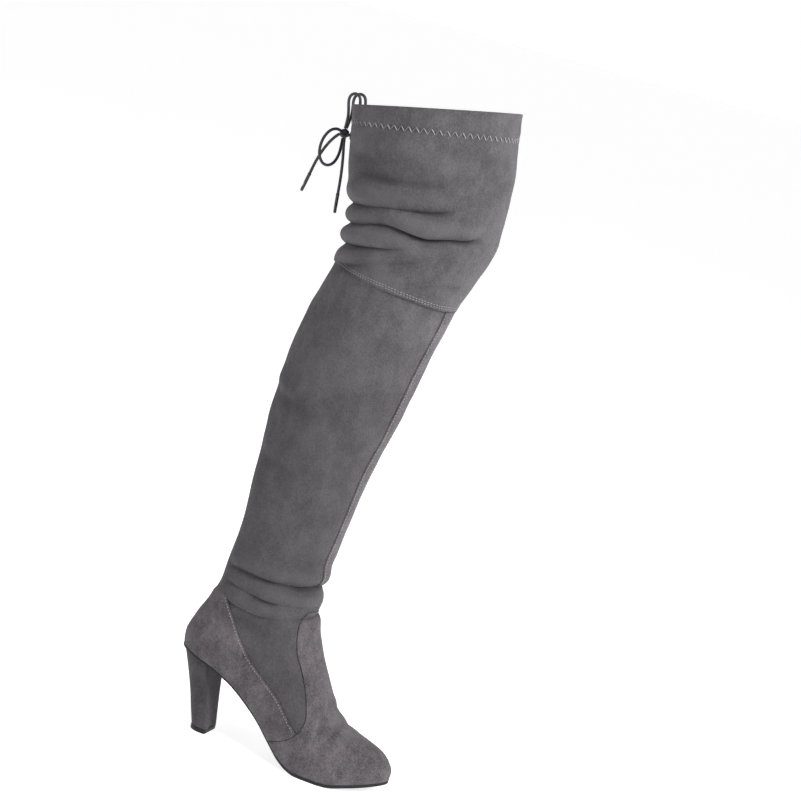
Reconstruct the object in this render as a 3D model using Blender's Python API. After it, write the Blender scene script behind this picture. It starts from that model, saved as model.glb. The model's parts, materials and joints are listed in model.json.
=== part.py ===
"""Thigh high boot with a block heel: a right boot, standing empty on its sole.

Metres, +Z up, +X to the toe, +Y to the inner side. The origin is the middle of the heel's resting face.
The upper is one surface, lofted through sections from the toe tip to the collar. A place on it has two
numbers: along counts the sections, and around runs from -1 to 1, with 0 on the front ridge, the outer
side below 0 and the inner side above 0. Its edges meet in the middle of the back.
"""

from collections import namedtuple
from math import acos, asin, cos, exp, pi, radians, sin

import bmesh
import bpy
from mathutils import Vector

# Foot
LAST_LENGTH = 0.244
BALL_WIDTH = 0.079
HEEL_HEIGHT = 0.082
TOE_SPRING = 0.014
INSTEP_HEIGHT = 0.137
ANKLE_RISE = 0.0905

# Leg
ANKLE_DEPTH = 0.101
ANKLE_WIDTH = 0.069
CALF_LENGTH = 0.327
CALF_DEPTH = 0.125
CALF_WIDTH = 0.098
KNEE_DEPTH = 0.119
KNEE_WIDTH = 0.104
THIGH_LENGTH = 0.1725
THIGH_DEPTH = 0.162
THIGH_WIDTH = 0.132

# Materials and fits
WALL = 0.0016
FIT = 0.0003
PANEL = 0.0008
SOLE_THICKNESS = 0.0032
SEAT_THICKNESS = 0.0022
INSOLE_THICKNESS = 0.0020
INSOLE_MARGIN = 0.0026
INSOLE_END_MARGIN = 0.0042
HEM_THICKNESS = 0.0010
PANEL_LIFT = 0.0014

# Heel
HEEL_LENGTH = 0.036
HEEL_WIDTH = 0.050
HEEL_INSET = 0.0012
HEEL_SEAT_GAP = 0.0006
HEEL_TIP_LENGTH = 0.021
HEEL_TIP_WIDTH = 0.031
HEEL_TIP_BACK = 0.028
TOP_PIECE_HEIGHT = 0.0048
HEEL_SIDES = 16
HEEL_SQUARE = 9
HEEL_ROUND = 2
HEEL_MIDDLE = 0.68

# Cord bow at the back of the cuff
CORD = 0.003
CORD_STEP = 0.0065
CORD_RESOLUTION = 2
TIP_RADIUS = 0.0019
TIP_LENGTH = 0.020
TIP_TAPER = 0.8
TIP_SIDES = 10
KNOT_SIZE = (0.0045, 0.0052, 0.0045)
EYELET_OUTER = 0.0042
EYELET_HOLE = 0.0027
EYELET_HEIGHT = 0.0008
EYELET_AROUND = 0.952
EYELET_ALONG = 0.27
EYELET_SIDES = 12

# Mesh
COLUMNS = 22
WELD = 0.00001
NARROWEST = 0.97
SOLE_EDGE_ANGLE = 40
HEEL_EDGE_ANGLE = 50

REST_X = HEEL_TIP_BACK + HEEL_TIP_LENGTH / 2
ANKLE_HEIGHT = HEEL_HEIGHT + ANKLE_RISE

# The sole's underside: how far along the last, and its height as a share of the heel height and of the
# toe spring
SolePoint = namedtuple("SolePoint", "along heel spring")
SOLE_LINE = [
    SolePoint(0.000, 1.000, 0.00),
    SolePoint(0.172, 0.890, 0.00),
    SolePoint(0.246, 0.800, 0.00),
    SolePoint(0.300, 0.705, 0.00),
    SolePoint(0.350, 0.605, 0.00),
    SolePoint(0.402, 0.490, 0.00),
    SolePoint(0.451, 0.370, 0.00),
    SolePoint(0.504, 0.232, 0.00),
    SolePoint(0.560, 0.100, 0.00),
    SolePoint(0.611, 0.026, 0.00),
    SolePoint(0.655, 0.000, 0.00),
    SolePoint(0.775, 0.000, 0.00),
    SolePoint(0.873, 0.000, 0.35),
    SolePoint(0.967, 0.000, 0.82),
    SolePoint(1.000, 0.000, 1.00),
]

# The sole's outline: how far along the last, the half widths as shares of the ball width
OutlinePoint = namedtuple("OutlinePoint", "along outer inner")
OUTLINE = [
    OutlinePoint(0.00, 0.000, 0.000),
    OutlinePoint(0.02, 0.177, 0.177),
    OutlinePoint(0.06, 0.278, 0.278),
    OutlinePoint(0.12, 0.338, 0.338),
    OutlinePoint(0.20, 0.338, 0.330),
    OutlinePoint(0.30, 0.306, 0.278),
    OutlinePoint(0.40, 0.312, 0.240),
    OutlinePoint(0.50, 0.367, 0.278),
    OutlinePoint(0.60, 0.443, 0.380),
    OutlinePoint(0.68, 0.490, 0.468),
    OutlinePoint(0.74, 0.492, 0.500),
    OutlinePoint(0.80, 0.456, 0.481),
    OutlinePoint(0.87, 0.367, 0.418),
    OutlinePoint(0.93, 0.266, 0.316),
    OutlinePoint(0.97, 0.165, 0.203),
    OutlinePoint(1.00, 0.000, 0.000),
]

# Sections of the foot, toe to heel back. seat and ridge are shares of the last length, crest of the instep
# height above the feather line, outer and inner of the ball width. widest is how far back the section is
# widest, blunt how square it is behind, and rows the mesh's rows from the section before
FootSection = namedtuple("FootSection", "seat ridge crest outer inner widest blunt rows")
FOOT = [
    FootSection(1.000, 1.0000, 0.000, 0.000, 0.000, 0.50, 1.00, 0),
    FootSection(0.985, 0.9955, 0.060, 0.150, 0.165, 0.55, 1.00, 2),
    FootSection(0.950, 0.9780, 0.116, 0.240, 0.284, 0.60, 1.00, 1),
    FootSection(0.900, 0.9400, 0.193, 0.342, 0.396, 0.62, 1.00, 2),
    FootSection(0.820, 0.8660, 0.279, 0.466, 0.492, 0.64, 1.00, 2),
    FootSection(0.740, 0.7850, 0.357, 0.520, 0.525, 0.65, 1.00, 2),
    FootSection(0.640, 0.7150, 0.440, 0.508, 0.490, 0.62, 1.00, 2),
    FootSection(0.540, 0.6720, 0.558, 0.482, 0.462, 0.58, 1.00, 2),
    FootSection(0.420, 0.6320, 0.679, 0.456, 0.443, 0.54, 0.97, 2),
    FootSection(0.280, 0.5980, 0.771, 0.443, 0.430, 0.51, 0.90, 2),
    FootSection(0.150, 0.5700, 0.858, 0.430, 0.424, 0.49, 0.80, 2),
    FootSection(0.050, 0.5500, 0.929, 0.424, 0.418, 0.48, 0.72, 1),
    FootSection(0.000, 0.5400, 0.973, 0.418, 0.418, 0.47, 0.70, 1),
]

# Sections round the heel counter, between the heel-back section and the ankle. back and front are shares of
# the last length, back_up and front_up the way up to the ankle, and half a share of the ankle width
CounterSection = namedtuple("CounterSection", "back back_up front front_up half widest blunt rows")
COUNTER = [
    CounterSection(-0.0060, 0.15, 0.5310, 0.30, 0.479, 0.47, 0.70, 1),
    CounterSection(0.0205, 0.41, 0.5225, 0.52, 0.484, 0.48, 0.74, 3),
    CounterSection(0.0635, 0.71, 0.5180, 0.75, 0.490, 0.49, 0.82, 3),
]

# Sections of the leg: up as a share of the calf length from the ankle, lean as a share of it ahead of the
# ankle's middle, depth and half width in metres from the named girths, tilt in degrees, front up
LegSection = namedtuple("LegSection", "up lean depth half tilt widest blunt rows")
ANKLE_MIDDLE = 0.3055 * LAST_LENGTH
LEG = [
    LegSection(0.000, 0.0000, 1.05 * ANKLE_DEPTH, 0.500 * ANKLE_WIDTH, 8.3, 0.50, 0.90, 3),
    LegSection(0.068, 0.0030, 1.03 * ANKLE_DEPTH, 0.507 * ANKLE_WIDTH, 4.6, 0.50, 0.94, 3),
    LegSection(0.228, 0.0170, 1.04 * ANKLE_DEPTH, 0.540 * ANKLE_WIDTH, 2.0, 0.52, 0.97, 3),
    LegSection(0.420, 0.0320, 0.925 * CALF_DEPTH, 0.440 * CALF_WIDTH, 0.0, 0.54, 1.00, 2),
    LegSection(0.560, 0.0490, 1.020 * CALF_DEPTH, 0.480 * CALF_WIDTH, -1.0, 0.55, 1.00, 2),
    LegSection(0.700, 0.0670, 1.065 * CALF_DEPTH, 0.500 * CALF_WIDTH, -2.5, 0.54, 1.00, 2),
    LegSection(0.845, 0.0940, 1.065 * CALF_DEPTH, 0.510 * CALF_WIDTH, -4.5, 0.52, 1.00, 2),
    LegSection(1.000, 0.1340, 1.070 * KNEE_DEPTH, 0.500 * KNEE_WIDTH, -7.5, 0.50, 1.00, 2),
]

# Sections of the thigh: the same columns, with up and lean as shares of the thigh length
THIGH = [
    LegSection(0.040, 0.010, 1.080 * KNEE_DEPTH, 0.505 * KNEE_WIDTH, -7.0, 0.50, 1.00, 1),
    LegSection(0.170, 0.044, 0.850 * THIGH_DEPTH, 0.420 * THIGH_WIDTH, -4.0, 0.50, 1.00, 3),
    LegSection(0.390, 0.068, 0.940 * THIGH_DEPTH, 0.447 * THIGH_WIDTH, 0.5, 0.50, 1.00, 4),
    LegSection(0.660, 0.032, 1.012 * THIGH_DEPTH, 0.470 * THIGH_WIDTH, 4.5, 0.50, 1.00, 4),
    LegSection(0.908, -0.012, 1.010 * THIGH_DEPTH, 0.485 * THIGH_WIDTH, 9.0, 0.50, 1.00, 3),
    LegSection(1.026, -0.030, 1.025 * THIGH_DEPTH, 0.500 * THIGH_WIDTH, 12.0, 0.50, 1.00, 2),
]

# Slouch folds: back and front are heights, depth and reach shares of the girth there, middle and spread
# places around, with the outer side below 0
Fold = namedtuple("Fold", "back front depth reach middle spread")
ANKLE_FOLDS = [
    Fold(0.110, 0.110, 0.035, 0.075, -0.45, 0.75),
    Fold(0.110, 0.110, 0.030, 0.075, 0.55, 0.60),
    Fold(-0.100, -0.095, 0.040, 0.065, -0.40, 0.70),
    Fold(-0.100, -0.095, 0.032, 0.065, 0.50, 0.60),
    Fold(-0.270, -0.170, 0.026, 0.055, -0.30, 0.45),
]
CUFF_FOLDS = [
    Fold(0.40, 0.47, 0.022, 0.034, -0.72, 0.42),
    Fold(0.38, 0.49, 0.020, 0.034, 0.70, 0.38),
    Fold(0.23, 0.34, 0.040, 0.036, -0.70, 0.60),
    Fold(0.22, 0.33, 0.034, 0.036, 0.72, 0.50),
    Fold(0.08, 0.16, 0.026, 0.032, -0.80, 0.36),
    Fold(0.09, 0.16, 0.026, 0.032, 0.80, 0.36),
]

# The heel block: how far down it, and the way from the seat's back, breast and width to the tip's
HeelLevel = namedtuple("HeelLevel", "down back breast width")
HEEL = [
    HeelLevel(0.00, 0.00, 0.00, 0.00),
    HeelLevel(0.12, 0.15, 0.10, 0.14),
    HeelLevel(0.30, 0.36, 0.28, 0.36),
    HeelLevel(0.55, 0.62, 0.53, 0.62),
    HeelLevel(0.80, 0.83, 0.79, 0.84),
    HeelLevel(1.00, 1.00, 1.00, 1.00),
]

# The bow lies on the back of the cuff. Its routes are lists of places that its cord runs through,
# measured from the cuff's back between the eyelets
KNOT_PLACE = Vector((-0.0092, 0.0, 0.0))
BAR_ROUTE = [
    (-0.0011, -0.0098, 0.0000),
    (-0.0027, -0.0049, 0.0000),
    (-0.0034, 0.0000, 0.0000),
    (-0.0027, 0.0049, 0.0000),
    (-0.0011, 0.0098, 0.0000),
]
HIGH_LOOP_ROUTE = [
    (-0.0092, 0.0019, 0.0050),
    (-0.0088, 0.0030, 0.0110),
    (-0.0086, 0.0048, 0.0190),
    (-0.0096, 0.0062, 0.0270),
    (-0.0098, 0.0070, 0.0330),
    (-0.0080, 0.0074, 0.0372),
    (-0.0046, 0.0076, 0.0388),
    (-0.0010, 0.0077, 0.0365),
    (0.0008, 0.0077, 0.0315),
    (0.0022, 0.0072, 0.0255),
    (0.0037, 0.0048, 0.0202),
    (0.0043, 0.0000, 0.0182),
    (0.0037, -0.0048, 0.0202),
    (0.0022, -0.0072, 0.0255),
    (0.0008, -0.0077, 0.0315),
    (-0.0010, -0.0077, 0.0365),
    (-0.0046, -0.0076, 0.0388),
    (-0.0080, -0.0074, 0.0372),
    (-0.0098, -0.0070, 0.0330),
    (-0.0096, -0.0062, 0.0270),
    (-0.0086, -0.0048, 0.0190),
    (-0.0088, -0.0030, 0.0110),
    (-0.0092, -0.0019, 0.0050),
]
LOW_LOOP_ROUTE = [
    (-0.0100, -0.0060, 0.0012),
    (-0.0142, -0.0088, 0.0030),
    (-0.0196, -0.0114, 0.0005),
    (-0.0238, -0.0136, -0.0070),
    (-0.0250, -0.0154, -0.0170),
    (-0.0230, -0.0164, -0.0265),
    (-0.0178, -0.0162, -0.0330),
    (-0.0120, -0.0144, -0.0335),
    (-0.0078, -0.0112, -0.0285),
    (-0.0066, -0.0080, -0.0200),
    (-0.0076, -0.0050, -0.0120),
    (-0.0090, -0.0022, -0.0052),
]
LONG_END_ROUTE = [
    (-0.0140, -0.0002, -0.0018),
    (-0.0180, -0.0012, -0.0065),
    (-0.0228, -0.0020, -0.0145),
    (-0.0270, -0.0026, -0.0245),
    (-0.0302, -0.0032, -0.0355),
    (-0.0326, -0.0036, -0.0470),
]
SHORT_END_ROUTE = [
    (-0.0094, 0.0036, -0.0040),
    (-0.0092, 0.0064, -0.0120),
    (-0.0078, 0.0084, -0.0220),
    (-0.0062, 0.0097, -0.0340),
    (-0.0048, 0.0104, -0.0470),
    (-0.0038, 0.0108, -0.0600),
]

# Panel seams seen from the side: along as a share of the last length, up as a share of the instep height
SeamPoint = namedtuple("SeamPoint", "along up")
VAMP_SEAM = [
    SeamPoint(0.570, 1.075),
    SeamPoint(0.533, 1.065),
    SeamPoint(0.502, 1.000),
    SeamPoint(0.490, 0.880),
    SeamPoint(0.515, 0.750),
    SeamPoint(0.561, 0.680),
    SeamPoint(0.600, 0.590),
    SeamPoint(0.630, 0.475),
    SeamPoint(0.639, 0.400),
    SeamPoint(0.622, 0.300),
    SeamPoint(0.582, 0.200),
    SeamPoint(0.537, 0.104),
    SeamPoint(0.490, 0.000),
]
SIDE_SEAM = [
    SeamPoint(0.060, 0.720),
    SeamPoint(0.119, 0.645),
    SeamPoint(0.180, 0.525),
    SeamPoint(0.254, 0.400),
    SeamPoint(0.332, 0.335),
    SeamPoint(0.410, 0.335),
    SeamPoint(0.500, 0.358),
    SeamPoint(0.561, 0.335),
    SeamPoint(0.612, 0.300),
]
SEAM_GAP = 0.0006
FEATHER_STEPS = 16
CUTTER_REACH = 0.09

SECTION_FIELDS = "front_x front_z back_x back_z outer inner outer_end inner_end widest blunt"
Section = namedtuple("Section", SECTION_FIELDS)


def through(xs, ys, x):
    """A smooth curve through the points, with no overshoot between them, read at x."""
    last = len(xs) - 1
    steps = [xs[i + 1] - xs[i] for i in range(last)]
    rises = [(ys[i + 1] - ys[i]) / steps[i] for i in range(last)]

    def slope(i):
        if i in (0, last):
            near = 0 if i == 0 else last - 1
            beyond = 1 if i == 0 else last - 2
            total = steps[near] + steps[beyond]
            value = ((2 * steps[near] + steps[beyond]) * rises[near] - steps[near] * rises[beyond]) / total
            if value * rises[near] <= 0:
                return 0.0
            return value if abs(value) < 3 * abs(rises[near]) else 3 * rises[near]
        if rises[i - 1] * rises[i] <= 0:
            return 0.0
        before = 2 * steps[i] + steps[i - 1]
        after = steps[i] + 2 * steps[i - 1]
        return (before + after) / (before / rises[i - 1] + after / rises[i])

    span = max(0, min(last - 1, sum(x >= value for value in xs) - 1))
    t = (x - xs[span]) / steps[span]
    t = max(0.0, min(1.0, t))
    start = ys[span] * (1 + 2 * t) * (1 - t) ** 2 + slope(span) * steps[span] * t * (1 - t) ** 2
    end = ys[span + 1] * t**2 * (3 - 2 * t) + slope(span + 1) * steps[span] * t**2 * (t - 1)
    return start + end


def column(table, name):
    return [getattr(row, name) for row in table]


def mix(a, b, share):
    return a + (b - a) * share


def sole_z(x):
    """The height of the sole's underside, x from the back of the heel."""
    share = x / LAST_LENGTH
    heel = through(column(SOLE_LINE, "along"), column(SOLE_LINE, "heel"), share)
    spring = through(column(SOLE_LINE, "along"), column(SOLE_LINE, "spring"), share)
    return HEEL_HEIGHT * heel + TOE_SPRING * spring


def sole_thickness(x):
    waist, ball = 0.45, 0.62
    shares = [0.0, waist, ball, 1.0]
    return through(shares, [SEAT_THICKNESS, SEAT_THICKNESS, SOLE_THICKNESS, SOLE_THICKNESS], x / LAST_LENGTH)


def feather_z(x):
    """The height of the upper's lower edge."""
    return sole_z(x) + sole_thickness(x) + FIT


def outline(share, side):
    """Half the sole's width on one side, at a share of the last length. Its ends are round."""
    turns = [acos(1 - 2 * row.along) for row in OUTLINE]
    share = max(0.0, min(1.0, share))
    return BALL_WIDTH * through(turns, column(OUTLINE, side), acos(1 - 2 * share))


def foot_section(row):
    back_x = row.seat * LAST_LENGTH
    front_x = row.ridge * LAST_LENGTH
    return Section(
        front_x=front_x,
        front_z=feather_z(front_x) + row.crest * INSTEP_HEIGHT,
        back_x=back_x,
        back_z=feather_z(back_x),
        outer=row.outer * BALL_WIDTH,
        inner=row.inner * BALL_WIDTH,
        outer_end=outline(row.seat, "outer"),
        inner_end=outline(row.seat, "inner"),
        widest=row.widest,
        blunt=row.blunt,
    )


def leg_section(row, start_x, start_z, length):
    reach_x = row.depth / 2 * cos(radians(row.tilt))
    reach_z = row.depth / 2 * sin(radians(row.tilt))
    middle_x = start_x + row.lean * length
    middle_z = start_z + row.up * length
    return Section(
        front_x=middle_x + reach_x,
        front_z=middle_z + reach_z,
        back_x=middle_x - reach_x,
        back_z=middle_z - reach_z,
        outer=row.half,
        inner=row.half,
        outer_end=0.0,
        inner_end=0.0,
        widest=row.widest,
        blunt=row.blunt,
    )


def counter_section(row, heel, ankle):
    return Section(
        front_x=row.front * LAST_LENGTH,
        front_z=mix(heel.front_z, ankle.front_z, row.front_up),
        back_x=row.back * LAST_LENGTH,
        back_z=mix(heel.back_z, ankle.back_z, row.back_up),
        outer=row.half * ANKLE_WIDTH,
        inner=row.half * ANKLE_WIDTH,
        outer_end=0.0,
        inner_end=0.0,
        widest=row.widest,
        blunt=row.blunt,
    )


def all_sections():
    """Every section from toe to collar."""
    foot = [foot_section(row) for row in FOOT]
    leg = [leg_section(row, ANKLE_MIDDLE, ANKLE_HEIGHT, CALF_LENGTH) for row in LEG]
    knee_x = ANKLE_MIDDLE + LEG[-1].lean * CALF_LENGTH
    knee_z = ANKLE_HEIGHT + CALF_LENGTH
    thigh = [leg_section(row, knee_x, knee_z, THIGH_LENGTH) for row in THIGH]
    counter = [counter_section(row, foot[-1], leg[0]) for row in COUNTER]
    return foot + counter + leg + thigh


SECTIONS = all_sections()
KNEE = len(FOOT) + len(COUNTER) + len(LEG) - 1
ANKLE = len(FOOT) + len(COUNTER)
HEEL_BACK = len(FOOT) - 1
COLLAR = len(SECTIONS) - 1


def row_places():
    """Where the mesh's rows lie along: each section, and even steps between them."""
    places = [0.0]
    counts = column(FOOT + COUNTER + LEG + THIGH, "rows")
    for number, count in enumerate(counts[1:], start=1):
        places += [number - 1 + (step + 1) / count for step in range(count)]
    return sorted(places + [ANKLE + SHAFT_START - SHAFT_SLIT, KNEE - STRIP_END])


# The shaft's lower edge above the ankle section, the slit below that edge, and the front strip's top below
# the cuff's lower edge, in sections
SHAFT_START = 1 / 3
SHAFT_SLIT = 0.06
STRIP_END = 0.02
ROWS = row_places()
SHAFT_ROW = ROWS.index(ANKLE) + 2
STRIP_ROW = SHAFT_ROW + 1
CUFF_ROW = ROWS.index(KNEE)
LAP_ROW = ROWS.index(KNEE + 1)
HEM_ROWS = 2


def section_at(along):
    numbers = list(range(len(SECTIONS)))
    values = {}
    for name in Section._fields:
        values[name] = through(numbers, column(SECTIONS, name), along)
    if along <= HEEL_BACK:
        seat = values["back_x"] / LAST_LENGTH
        ends = {"outer_end": outline(seat, "outer"), "inner_end": outline(seat, "inner")}
        values.update(ends, back_z=feather_z(values["back_x"]))
    return Section(**values)


def fold_depth(folds, base_z, length, girth, z, around):
    """How far the folds pull a place of the leg inwards."""
    total = 0.0
    for fold in folds:
        height = base_z + length * mix(fold.front, fold.back, (1 - cos(pi * around)) / 2)
        off = min(abs(around - fold.middle), 2 - abs(around - fold.middle))
        shape = exp(-(((z - height) / (fold.reach * girth)) ** 2)) * exp(-((off / fold.spread) ** 2))
        total += fold.depth * girth * shape
    return total


def skin(section, around):
    """A place on the upper's outer surface."""
    side = "outer" if around < 0 else "inner"
    half = getattr(section, side)
    end = min(getattr(section, side + "_end"), NARROWEST * half)
    last_turn = pi - asin(end / half) if half > 0 else pi
    turn = last_turn * abs(around)
    chord_x = section.back_x - section.front_x
    chord_z = section.back_z - section.front_z
    if turn <= pi / 2:
        share = section.widest * (1 - cos(turn))
    else:
        share = section.widest + (1 - section.widest) * (cos(turn) / cos(last_turn)) ** section.blunt
    point = Vector((section.front_x + chord_x * share, 0, section.front_z + chord_z * share))
    point.y = half * sin(turn) * (-1 if side == "outer" else 1)
    middle = Vector((section.front_x + chord_x / 2, 0, section.front_z + chord_z / 2))
    out = point - middle
    if out.length > 0:
        out.normalize()
    girth = KNEE_DEPTH
    pulled = fold_depth(ANKLE_FOLDS, ANKLE_HEIGHT, ANKLE_DEPTH, ANKLE_DEPTH, point.z, around)
    pulled += fold_depth(CUFF_FOLDS, ANKLE_HEIGHT + CALF_LENGTH, THIGH_LENGTH, girth, point.z, around)
    point -= out * pulled
    point.x -= REST_X
    return point


def material(name, colour, roughness, metallic=0.0):
    made = bpy.data.materials.new(name)
    made.use_nodes = True
    shader = made.node_tree.nodes["Principled BSDF"]
    shader.inputs["Base Color"].default_value = (*colour, 1)
    shader.inputs["Roughness"].default_value = roughness
    shader.inputs["Metallic"].default_value = metallic
    made.diffuse_color = (*colour, 1)
    return made


def finish(bm, name, look, smooth=True):
    """Turns a bmesh into a named object with its own material."""
    mesh = bpy.data.meshes.new(name)
    bm.to_mesh(mesh)
    bm.free()
    if smooth:
        mesh.shade_smooth()
    piece = bpy.data.objects.new(name, mesh)
    piece.data.materials.append(material(name, *look))
    bpy.context.scene.collection.objects.link(piece)
    return piece


def sheet(row_count, column_count, place):
    """A grid whose corners, by row and column, are sent to places, with what meets welded."""
    bm = bmesh.new()
    bmesh.ops.create_grid(bm, x_segments=column_count, y_segments=row_count, size=0.5)
    rows = bm.verts.layers.int.new("row")
    cols = bm.verts.layers.int.new("col")
    for vert in bm.verts:
        vert[rows] = round((vert.co.y + 0.5) * row_count)
        vert[cols] = round((vert.co.x + 0.5) * column_count)
        vert.co = place(vert[rows], vert[cols])
    bmesh.ops.remove_doubles(bm, verts=bm.verts, dist=WELD)
    return bm


def skin_sheet(first_row, last_row, lift, first_col=0, last_col=COLUMNS):
    """Part of the upper's surface, lifted along the whole surface's own normals."""
    sections = [section_at(along) for along in ROWS]
    bm = sheet(len(ROWS) - 1, COLUMNS, lambda row, col: skin(sections[row], 2 * col / COLUMNS - 1))
    bmesh.ops.triangulate(bm, faces=bm.faces, quad_method="SHORT_EDGE")
    rows = bm.verts.layers.int["row"]
    cols = bm.verts.layers.int["col"]
    bm.normal_update()
    shin = next(vert for vert in bm.verts if vert[rows] == CUFF_ROW and vert[cols] == COLUMNS // 2)
    if shin.normal.x < 0:
        bmesh.ops.reverse_faces(bm, faces=bm.faces)
        bm.normal_update()
    places = [vert.co + vert.normal * lift for vert in bm.verts]
    for vert, place in zip(bm.verts, places):
        vert.co = place
    outside = [
        vert
        for vert in bm.verts
        if not (first_row <= vert[rows] <= last_row and first_col <= vert[cols] <= last_col)
    ]
    bmesh.ops.delete(bm, geom=outside, context="VERTS")
    return bm


def wall(piece, thickness, outward):
    modifier = piece.modifiers.new("wall", "SOLIDIFY")
    modifier.thickness = thickness
    modifier.offset = 1 if outward else -1
    modifier.use_rim = True
    return piece


SUEDE = ((0.20, 0.195, 0.20), 0.90)
SUEDE_PANEL = ((0.18, 0.175, 0.18), 0.92)
BLACK_RUBBER = ((0.015, 0.015, 0.016), 0.45)
BLACK_CORD = ((0.012, 0.012, 0.018), 0.40)
LINING = ((0.10, 0.10, 0.105), 0.85)


def make_upper():
    """The foot, one hollow wall up to the ankle, open underneath."""
    return wall(finish(skin_sheet(0, SHAFT_ROW - 1, 0.0), "upper", SUEDE), WALL, False)


def make_shaft():
    """The leg, one hollow wall that reaches a little way up inside the cuff."""
    return wall(finish(skin_sheet(SHAFT_ROW, LAP_ROW, 0.0), "shaft", SUEDE), WALL, False)


def make_thigh_cuff():
    return wall(finish(skin_sheet(CUFF_ROW, len(ROWS) - 1, FIT), "thigh_cuff", SUEDE), WALL, True)


def make_hem_band():
    """The elastic facing inside the collar."""
    last = len(ROWS) - 1
    return wall(finish(skin_sheet(last - HEM_ROWS, last, 0.0), "hem_band", LINING), HEM_THICKNESS, False)


def make_front_strip():
    """The raised strip down the shin, a column of the surface on each side of the ridge."""
    ridge = COLUMNS // 2
    last_row = CUFF_ROW - 1
    bm = skin_sheet(STRIP_ROW, last_row, FIT, ridge - 1, ridge + 1)
    return wall(finish(bm, "front_strip", SUEDE_PANEL), PANEL, True)


def seam_place(point, gap=0.0):
    x = point.along * LAST_LENGTH
    return x - REST_X + gap, sole_z(x) + point.up * INSTEP_HEIGHT


def feather_places(first, last):
    """The line just above the sole's edge, between two shares of the last length."""
    places = []
    for step in range(FEATHER_STEPS + 1):
        x = mix(first, last, step / FEATHER_STEPS) * LAST_LENGTH
        places.append((x - REST_X, feather_z(x) + PANEL_LIFT))
    return places


def prism(name, places):
    """A cutter that runs across the whole foot, from its outline seen from the side."""
    bm = bmesh.new()
    verts = [bm.verts.new((x, -CUTTER_REACH, z)) for x, z in places]
    face = bm.faces.new(verts)
    made = bmesh.ops.extrude_face_region(bm, geom=[face])
    moved = [item for item in made["geom"] if isinstance(item, bmesh.types.BMVert)]
    bmesh.ops.translate(bm, verts=moved, vec=(0, 2 * CUTTER_REACH, 0))
    bmesh.ops.recalc_face_normals(bm, faces=bm.faces)
    cutter = finish(bm, name, SUEDE, smooth=False)
    cutter.hide_render = True
    cutter.display_type = "WIRE"
    return cutter


def panel(name, last_row, cutter):
    """A panel on the foot: a second skin over the upper's, kept only where the cutter is."""
    piece = wall(finish(skin_sheet(0, last_row, FIT), name, SUEDE_PANEL), PANEL, True)
    cut = piece.modifiers.new("cut", "BOOLEAN")
    cut.operation = "INTERSECT"
    cut.object = cutter
    return piece


def make_vamp_panel():
    ahead = 1.04
    top = [seam_place(point) for point in VAMP_SEAM[:-1]]
    sole = feather_places(VAMP_SEAM[-1].along, ahead)
    front = (ahead * LAST_LENGTH - REST_X, top[0][1])
    cutter = prism("vamp_cutter", top + sole + [front])
    return panel("vamp_panel", ROWS.index(ANKLE) + 1, cutter)


def make_counter_panel():
    behind = -0.06
    side = [seam_place(point) for point in SIDE_SEAM]
    low = [point for point in VAMP_SEAM if point.up < SIDE_SEAM[-1].up]
    front = [seam_place(point, -SEAM_GAP) for point in low[:-1]]
    sole = feather_places(VAMP_SEAM[-1].along - SEAM_GAP / LAST_LENGTH, behind)
    back = (behind * LAST_LENGTH - REST_X, side[0][1])
    cutter = prism("counter_cutter", side + front + sole + [back])
    return panel("counter_panel", ROWS.index(ANKLE) + 1, cutter)


def slab(name, look, inset, end_inset, bottom, thickness):
    """A flat layer under the foot, inside the sole's outline, with a row under each row of the upper."""
    stations = [section_at(along).back_x for along in ROWS if along <= HEEL_BACK]
    last = len(stations) - 1
    scale = (LAST_LENGTH - 2 * end_inset) / LAST_LENGTH

    def place(row, col):
        x = end_inset + stations[row] * scale
        y = 0.0
        if col != 1 and row not in (0, last):
            width = outline(stations[row] / LAST_LENGTH, "outer" if col == 0 else "inner")
            y = (width - min(inset, width / 2)) * (col - 1)
        return Vector((x - REST_X, y, bottom(x)))

    bm = sheet(last, 2, place)
    made = bmesh.ops.extrude_face_region(bm, geom=list(bm.faces))
    for item in made["geom"]:
        if isinstance(item, bmesh.types.BMVert):
            item.co.z += thickness(item.co.x + REST_X)
    bmesh.ops.recalc_face_normals(bm, faces=bm.faces)
    piece = finish(bm, name, look)
    piece.data.set_sharp_from_angle(angle=radians(SOLE_EDGE_ANGLE))
    return piece


def make_outsole():
    return slab("outsole", BLACK_RUBBER, 0.0, 0.0, sole_z, sole_thickness)


def make_insole():
    return slab("insole", LINING, INSOLE_MARGIN, INSOLE_END_MARGIN, feather_z, lambda x: INSOLE_THICKNESS)


def heel_outline(level, side_number):
    """A corner of the heel's outline: round behind, flat at the breast with eased corners."""
    turn = 2 * pi * side_number / HEEL_SIDES
    back = mix(HEEL_INSET, HEEL_TIP_BACK, level.back)
    breast = mix(HEEL_INSET + HEEL_LENGTH, HEEL_TIP_BACK + HEEL_TIP_LENGTH, level.breast)
    width = mix(HEEL_WIDTH, HEEL_TIP_WIDTH, level.width)
    middle = mix(back, breast, HEEL_MIDDLE)
    ahead = cos(turn) > 0
    power = 2 / (HEEL_SQUARE if ahead else HEEL_ROUND)
    reach = breast - middle if ahead else back - middle
    x = middle + reach * abs(cos(turn)) ** power
    y = width / 2 * abs(sin(turn)) ** power * (1 if sin(turn) > 0 else -1)
    return x, y


def closed_tube(row_count, place):
    """A tube of the heel's outline, closed at both ends."""
    bm = sheet(row_count, HEEL_SIDES, place)
    bmesh.ops.holes_fill(bm, edges=[edge for edge in bm.edges if edge.is_boundary], sides=0)
    bmesh.ops.recalc_face_normals(bm, faces=bm.faces)
    return bm


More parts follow.
